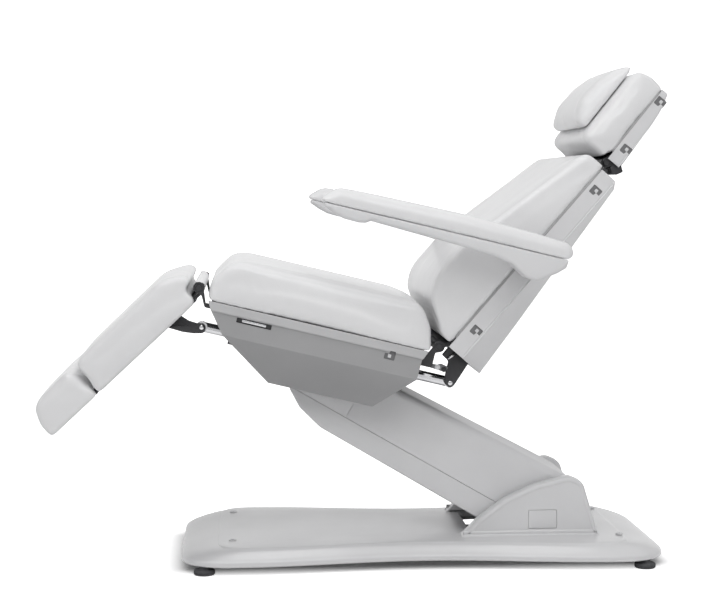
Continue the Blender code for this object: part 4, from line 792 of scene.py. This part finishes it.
def skirtRings(side):
    levels, rows, rim, blur, wall, soft = skirtForm.values()
    heights = np.concatenate([np.linspace(*row) for row in rows])
    insets = np.interp(heights, *zip(*rim))
    runs = [blurred(-heights, [(-row[0], row[k + 1]) for row in levels], reach) for k, reach in enumerate(blur)]
    rings = []
    for h, i, w, f, r in zip(heights, insets, *runs):
        rings.append(level(boxLine(f + i, r - i, side * (w - i), side * (w - wall + i), soft, 4), h))
    return np.stack(rings)


def makeSkirt(tag, side):
    lip, half, hook, slot, slotRun, plateBox, plateRun, bar, barRun = slotForm.values()
    # painted shade: the panel takes the darkened copy of the cover plastic for the shade under the seat
    panel = skinRings("sidePanel" + tag, laid(skirtRings(side), "seat"), shadedPanelPlastic, "seat")
    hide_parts("seat_skirt_" + tag.lower())
    through = toolPrism(boxLine(*slot, 0.002, 4), *across(side, *slotRun), "seat")
    carve(panel, [through, clipRecess(hook, 0.0, "seat", half, side)])
    # painted shade: the lip along the top takes a copy of the cover plastic darkened less than the panel's, as it lies
    # less deep in the seat's shade
    panel.data.materials.append(lipShadePlastic)
    for face in panel.data.polygons:
        face.material_index = int(toLocal([face.center], "seat")[0][2] > lip)
    clipSocket("panelClip" + tag, hook, 0.0, "seat", half, side, "seat")
    plate = softSlab("slotPlate" + tag, boxLine(*plateBox, 0.003, 4), *across(side, *plateRun), 0.0005, "seat",
                     darkCoat, "seat", "bright_metal", 2)
    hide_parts("accessory_rail_" + tag.lower())
    softSlab("slotBar" + tag, boxLine(*bar, 0.0022, 5), *across(side, *barRun), 0.0012, "seat", chrome, "seat",
             "bright_metal", 3)


for tag, side in bothSides:
    makeSkirt(tag, side)
print("side panels made")


# back and head shells: a trough section (flank, grooved crease, slanted panel, flat back) carried up the back
# rear: how deep the flat back lies at each height
backForm = {
    "half": 0.291, "top": -0.0103, "band": 0.0505, "flat": 0.206, "wall": 0.004, "soft": (0.002, 0.03),
    "groove": (0.0018, 0.0036), "ends": (0.014, 0.543), "clips": [(0.4955, -0.031), (0.081, -0.034)],
    "rear": [(0.014, 0.12), (0.163, 0.1085), (0.38, 0.0885), (0.543, 0.0745)],
    "bead": (0.288, -0.0085, 0.04, 0.538, 0.0028)}
headForm = {
    "half": 0.212, "top": 0.0062, "band": 0.0245, "flat": 0.158, "wall": 0.0035, "soft": (0.002, 0.022),
    "groove": (0.0014, 0.0028), "ends": (0.007, 0.21), "clips": [(0.0485, -0.0145), (0.183, -0.008)],
    "rear": [(0.007, 0.039), (0.12, 0.0345), (0.158, 0.03), (0.186, 0.0225), (0.21, 0.0105)],
    "bead": (0.209, 0.0078, 0.026, 0.2, 0.0026)}
rearBlur = 0.012
troughForm = {
    "rim": [(0.0, 0.0011), (0.0004, 0.0003), (0.0012, 0.0)], "bend": 0.007, "straight": 0.008, "past": 0.03,
    "short": 0.004}


def troughRing(form, x, inset, lift):
    rear = blurred(np.array([x]), form["rear"], rearBlur)[0] - inset
    band = min(form["band"] - 0.4 * inset, 0.72 * rear)
    half, flat, top = form["half"] - inset, form["flat"] - 0.4 * inset, form["top"] + lift
    edge, turn = form["soft"]
    dip, gap = form["groove"]
    crease = [(half, gap - band, 0.0005), (half - dip, 0.3 * gap - band, 0.0004),
              (half - 0.25 * dip, -band - 0.4 * gap, edge)]
    flank = [(half, top, 0.0)] + crease + [(flat, -rear, turn)]
    line = arcCorners(flank + [(-y, z, r) for y, z, r in reversed(flank)], 6)
    return np.column_stack([np.full(len(line), x), line])


def makeTrough(name, form, place, body, node):
    (low, high), wall, half = form["ends"], form["wall"], form["half"]
    rim, bend, straight, past, short = troughForm.values()
    runs = [(low + x, i) for x, i in rim]
    runs += [(x, 0.0) for x in np.linspace(low, high - straight, 26)[1:]]
    runs += [(high - bend * (1 - math.sin(t)), bend * (1 - math.cos(t))) for t in np.linspace(0, quarter, 6)]
    rings = np.stack([troughRing(form, x, i, 0.0) for x, i in runs])
    shell = skinRings(name, laid(rings, place), plastic, body)
    inner = [troughRing(form, x, wall, past) for x in np.linspace(low - past, high - wall - short, 24)]
    hollow = skinRings("tool", laid(inner, place), plastic, None, sharp["never"])
    pockets = [clipRecess(at, quarter, place, half, side) for at in form["clips"] for side in (-1, 1)]
    carve(shell, [hollow] + pockets)
    for count, at in enumerate(form["clips"]):
        for tag, side in bothSides:
            clipSocket(f"{name}Clip{count + 1}{tag}", at, quarter, place, half, side, body)
    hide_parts(node)


makeTrough("backTrough", backForm, "back", "back", "back_shell")
makeTrough("headTrough", headForm, "head", "headrest", "headrest_shell")

# painted shade: a soft grey bead in the seam between upholstery and shell stands in for the shade line there
for body, place, form in (("back", "back", backForm), ("headrest", "head", headForm)):
    y, z, start, end, thick = form["bead"]
    for tag, side in bothSides:
        path = [(x, side * y, z) for x in np.linspace(start, end, 24)]
        tube(body + "SeamShadeBead" + tag, toWorld(path, place), thick, shadedPanelPlastic, body, 12)
print("shells made")


# armrest trays: side profile with a finger grip in front and a hub boss behind, lower edges rounded
trayForm = {
    "outline": [(-0.487, 0.0317, 0.002), (-0.4885, 0.0235, 0.006), (-0.4631, 0.0131, 0.014), (-0.4368, 0.0059, 0.012),
        (-0.4074, 0.0049, 0.01), (-0.3903, 0.008, 0.006), (-0.3802, 0.0152, 0.006), (-0.1698, 0.0068, 0.06),
        (-0.0882, 0.0014, 0.04), (-0.0573, -0.0062, 0.02), (-0.041, -0.0154, 0.014), (-0.0187, -0.0282, 0.016),
        (0.0063, -0.0293, 0.016), (0.0436, -0.0041, 0.016), (0.0626, 0.0132, 0.01), (0.0634, 0.0317, 0.002)],
    "half": 0.038, "edge": 0.009, "rimAt": 0.029, "rimRun": 0.012, "rimLeast": 0.38, "hub": 0.0243,
    "hubRun": (0.383, 0.3)}


def makeTray(tag, side):
    outline, half, edge, rimAt, rimRun, rimLeast, hub, hubRun = trayForm.values()
    line, middle = evenly(arcCorners(outline, 8), 260), side * armMiddle
    mask = np.clip((rimAt - line[:, 1]) / rimRun, rimLeast, 1)
    rings = slabRings(line, middle - half, middle + half, edge, 7, mask)
    tray = skinRings("armTray" + tag, laid(rings, "armrest"), plastic, "armrest_" + tag.lower())
    around = np.linspace(0, 2 * math.pi, 49)[:-1]
    ring = hub * np.stack([np.cos(around), np.sin(around)], 1)
    carve(tray, [toolPrism(ring, *across(side, *hubRun), "armrest")])
    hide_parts("armrest_tray_" + tag.lower())


for tag, side in bothSides:
    makeTray(tag, side)

# levers, their pins and the bolts round the hinges; bolt and pin: radius and height
leverForm = {
    "leg": [(-0.1165, -0.0187, 0.002), (-0.076, -0.0187, 0.002), (-0.0708, -0.04, 0.02), (-0.0606, -0.0582, 0.02),
        (-0.0508, -0.0689, 0.009), (-0.0548, -0.08, 0.009), (-0.066, -0.0842, 0.012), (-0.0825, -0.069, 0.03),
        (-0.0987, -0.049, 0.03)],
    "back": [(0.058, -0.0227, 0.002), (0.042, -0.06, 0.01), (0.0161, -0.0828, 0.012), (-0.0396, -0.0905, 0.012),
        (-0.057, -0.089, 0.01), (-0.056, -0.0694, 0.012), (-0.0299, -0.0536, 0.02), (-0.0109, -0.0446, 0.01),
        (-0.01, -0.0232, 0.003)],
    "run": (-0.209, -0.199), "pins": {"leg": (-0.06, -0.0711), "back": (-0.0467, -0.0804)},
    "spacer": [(-0.008, -0.2118, -0.039), (0.003, -0.2118, -0.0413), (0.014, -0.2118, -0.0436)],
    "thick": 0.0034}
gussetForm = {
    "outline": [(0.2605, -0.03, 0.002), (0.283, -0.029, 0.01), (0.2911, -0.0245, 0.004), (0.31, -0.0285, 0.004),
        (0.305, -0.042, 0.004), (0.2605, -0.0384, 0.002)],
    "run": (-0.2362, -0.2312), "bolt": (0.285, -0.2362, -0.0345), "darkBolt": (0.3005, -0.2362, -0.036)}
boltForm = [
    (0.0001, 0.001), (0.0016, 0.001), (0.0019, 0.0026), (0.0036, 0.0026), (0.0044, 0.0018), (0.0045, 0.0002),
    (0.0062, 0.0002), (0.0063, -0.0006)]
pinForm = [
    (0.0001, 0.002), (0.004, 0.0018), (0.0052, 0.001), (0.0055, 0.0), (0.0055, -0.0012), (0.0048, -0.0016),
    (0.0048, -0.033), (0.0001, -0.033)]


def makeLevers():
    outwards = (0, -1, 0)
    for place, body in (("leg", "leg_rest"), ("back", "back")):
        lever = softSlab(place + "LeverPlate", arcCorners(leverForm[place], 8), *leverForm["run"], 0.0016, place,
                         darkCoat, body, "frame_steel", 3)
        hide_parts(place + "_lever")
        x, z = leverForm["pins"][place]
        lathe(place + "LeverPin", pinForm, placed(x, leverForm["run"][0], z, place), outwards, chrome, body,
              32)
    tube("spacerRod", toWorld(leverForm["spacer"], "back"), leverForm["thick"], chrome, "back", 20)
    softSlab("hingeGusset", arcCorners(gussetForm["outline"], 5), *gussetForm["run"], 0.001, "seat", greyCoat, "seat",
             "frame_steel", 2)
    lathe("gussetBolt", boltForm, placed(*gussetForm["bolt"], "seat"), outwards, zinc, "seat", 28)
    lathe("gussetBoltDark", boltForm, placed(*gussetForm["darkBolt"], "seat"), outwards, darkCoat, "seat",
          28)


makeLevers()

# pale sleeve over the knee hinge: radius and place along y
sleeveForm = [
    (0.0116, -0.226), (0.0122, -0.227), (0.0128, -0.2262), (0.013, -0.224), (0.013, 0.224), (0.0128, 0.2262),
    (0.0122, 0.227), (0.0116, 0.226)]
lathe("kneeSleeve", sleeveForm, placed(0, 0, 0, "leg"), (0, 1, 0), leather, "leg_rest", 36)

# painted shade: a dark filler under the head hinge stands in for the shade in the head shell's open lower end; it is
# hollow round the barrel so that it can swing
hingeForm = {
    "hollow": 0.0132, "half": 0.2015,
    "below": [(-0.0125, -0.0262, 0.005), (-0.0088, -0.0345, 0.008), (0.0065, -0.0426, 0.004), (0.015, -0.03, 0.002)]}
hollow, half, below = hingeForm.values()
hollowArc = [(hollow * math.cos(a), hollow * math.sin(a), 0.0) for a in np.radians(range(360, 241, -10))]
softSlab("headHingeShadeFill", arcCorners(hollowArc + below, 6), -half, half, 0.001, "head", darkCoat, "headrest",
         "frame_steel", 3)
print("fittings made")


# finishes of the solids that stay as they are
keepers = [
    (shadedPanelPlastic, "seat_front_cover"),
    (darkCoat, "base_frame pivot_bracket lift_arm level_link carriage seat_frame leg_frame foot_slide back_frame"),
    (darkCoat, "head_frame back_axle leg_axle head_axle"), (greyCoat, "armrest_bracket_near armrest_bracket_far"),
    (chrome, "arm_pin_lower arm_pin_upper link_pin_lower link_pin_upper tilt_pin lift_rod tilt_rod back_rod leg_rod"),
    (motorCase, "lift_motor tilt_motor back_motor leg_motor control_box")]
for finish, names in keepers:
    for name in names.split():
        nodes[name].data.materials.clear()
        nodes[name].data.materials.append(finish)
print("solids finished")


# floor, light and camera; lamps: power, size, place and aim
studio = {
    "floor": (0.92, 0.92, 0.92), "lift": 0.03, "middle": (0.16, 0, 0), "box": (0.53, 0.175, 0.0), "fade": 0.12,
    "sky": 0.33, "shine": 0.5, "sheet": (8, -7, 4, 3), "grid": (41, 12, 8)}
lamps = {
    "overhead": (67.0, (7.0, 6.0), (0.1, 0.2, 4.2), (0.1, 0.0, 0.5)),
    "edgeStrip": (12.0, (3.8, 0.1), (-0.6, -1.3, 2.7), (0.1, 0.0, 0.7)),
    "frontSoftbox": (40.0, (3.2, 2.0), (-0.2, -3.0, 3.0), (0.0, 0.0, 0.6))}
view = {"lens": 82.5, "sensor": 36.0, "from": (-0.2547, -3.9724, 0.8805), "pitch": 3.888, "yaw": 3.998}


def makeFloor():
    # a wide sheet whose far side rises in a smooth sweep
    half, front, bend, sweep = studio["sheet"]
    columns, flat, curve = studio["grid"]
    turn = np.linspace(0.15, quarter, curve)
    depth = np.concatenate([np.linspace(front, bend, flat), bend + sweep * np.sin(turn)])
    rise = np.concatenate([np.zeros(flat), sweep * (1 - np.cos(turn))])
    run = np.linspace(-half, half, columns)
    points = np.stack(np.broadcast_arrays(run[None], depth[:, None], rise[:, None]), -1)
    skin = Skin("studioFloor", Roughness=0.75, Specular_IOR_Level=0.2, Base_Color=(*studio["floor"], 1),
                Emission_Strength=1.0)
    camera, glossy = skin.rays()
    seen = camera + glossy * studio["shine"]
    # painted light: the sheet glows by its distance from a box under the base, faintly inside it where it keeps its
    # shade, and white outside it, which paints out the shadow there
    off = skin.vector("ABSOLUTE", skin.vector("SUBTRACT", skin.where, studio["middle"]))
    off = skin.vector("MAXIMUM", skin.vector("SUBTRACT", off, studio["box"]))
    far = skin.node("ShaderNodeVectorMath", {"operation": "LENGTH"}, out=1, i0=off)
    glow = skin.node("ShaderNodeMapRange", {"interpolation_type": "SMOOTHSTEP"}, Value=far, From_Min=0.0,
                     From_Max=studio["fade"], To_Min=studio["lift"], To_Max=1.0)
    skin.wear(Emission_Color=skin.tint(seen * glow, (0, 0, 0), (1, 1, 1)))
    faces = gridFaces(len(depth), columns, False)
    floor = meshPiece("studioFloor", points.reshape(-1, 3), faces, skin.material, None, sharp["never"])


def makeSky():
    # grey light, seen as white by the camera and half as bright in glossy reflections
    world = bpy.data.worlds.new("studio")
    bpy.context.scene.world = world
    net, sky = Net(world), studio["sky"]
    camera, glossy = net.rays()
    seen = net.node("ShaderNodeMath", {"operation": "MULTIPLY_ADD", "use_clamp": True}, i0=glossy, i1=studio["shine"],
                    i2=camera)
    net.feed(net.tree.nodes["Background"].inputs["Color"], net.tint(seen, (sky, sky, sky * 1.01), (1, 1, 1)))


def makeLamp(name, power, size, place, aim):
    lamp = bpy.data.lights.new(name, "AREA")
    lamp.energy, lamp.shape, lamp.size, lamp.size_y = power, "RECTANGLE", size[0], size[1]
    holder = bpy.data.objects.new(name, lamp)
    holder.location = place
    holder.rotation_euler = (Vector(aim) - Vector(place)).to_track_quat("-Z", "Y").to_euler()
    bpy.context.scene.collection.objects.link(holder)


makeFloor()
makeSky()
for name, values in lamps.items():
    makeLamp(name, *values)
camera = bpy.data.objects.new("camera", bpy.data.cameras.new("camera"))
camera.data.lens, camera.data.sensor_width, camera.data.sensor_fit = view["lens"], view["sensor"], "HORIZONTAL"
camera.location = view["from"]
camera.rotation_euler = (math.radians(90 - view["pitch"]), 0, -math.radians(view["yaw"]))
bpy.context.scene.collection.objects.link(camera)
bpy.context.scene.camera = camera
bpy.context.scene.view_settings.view_transform = "Standard"
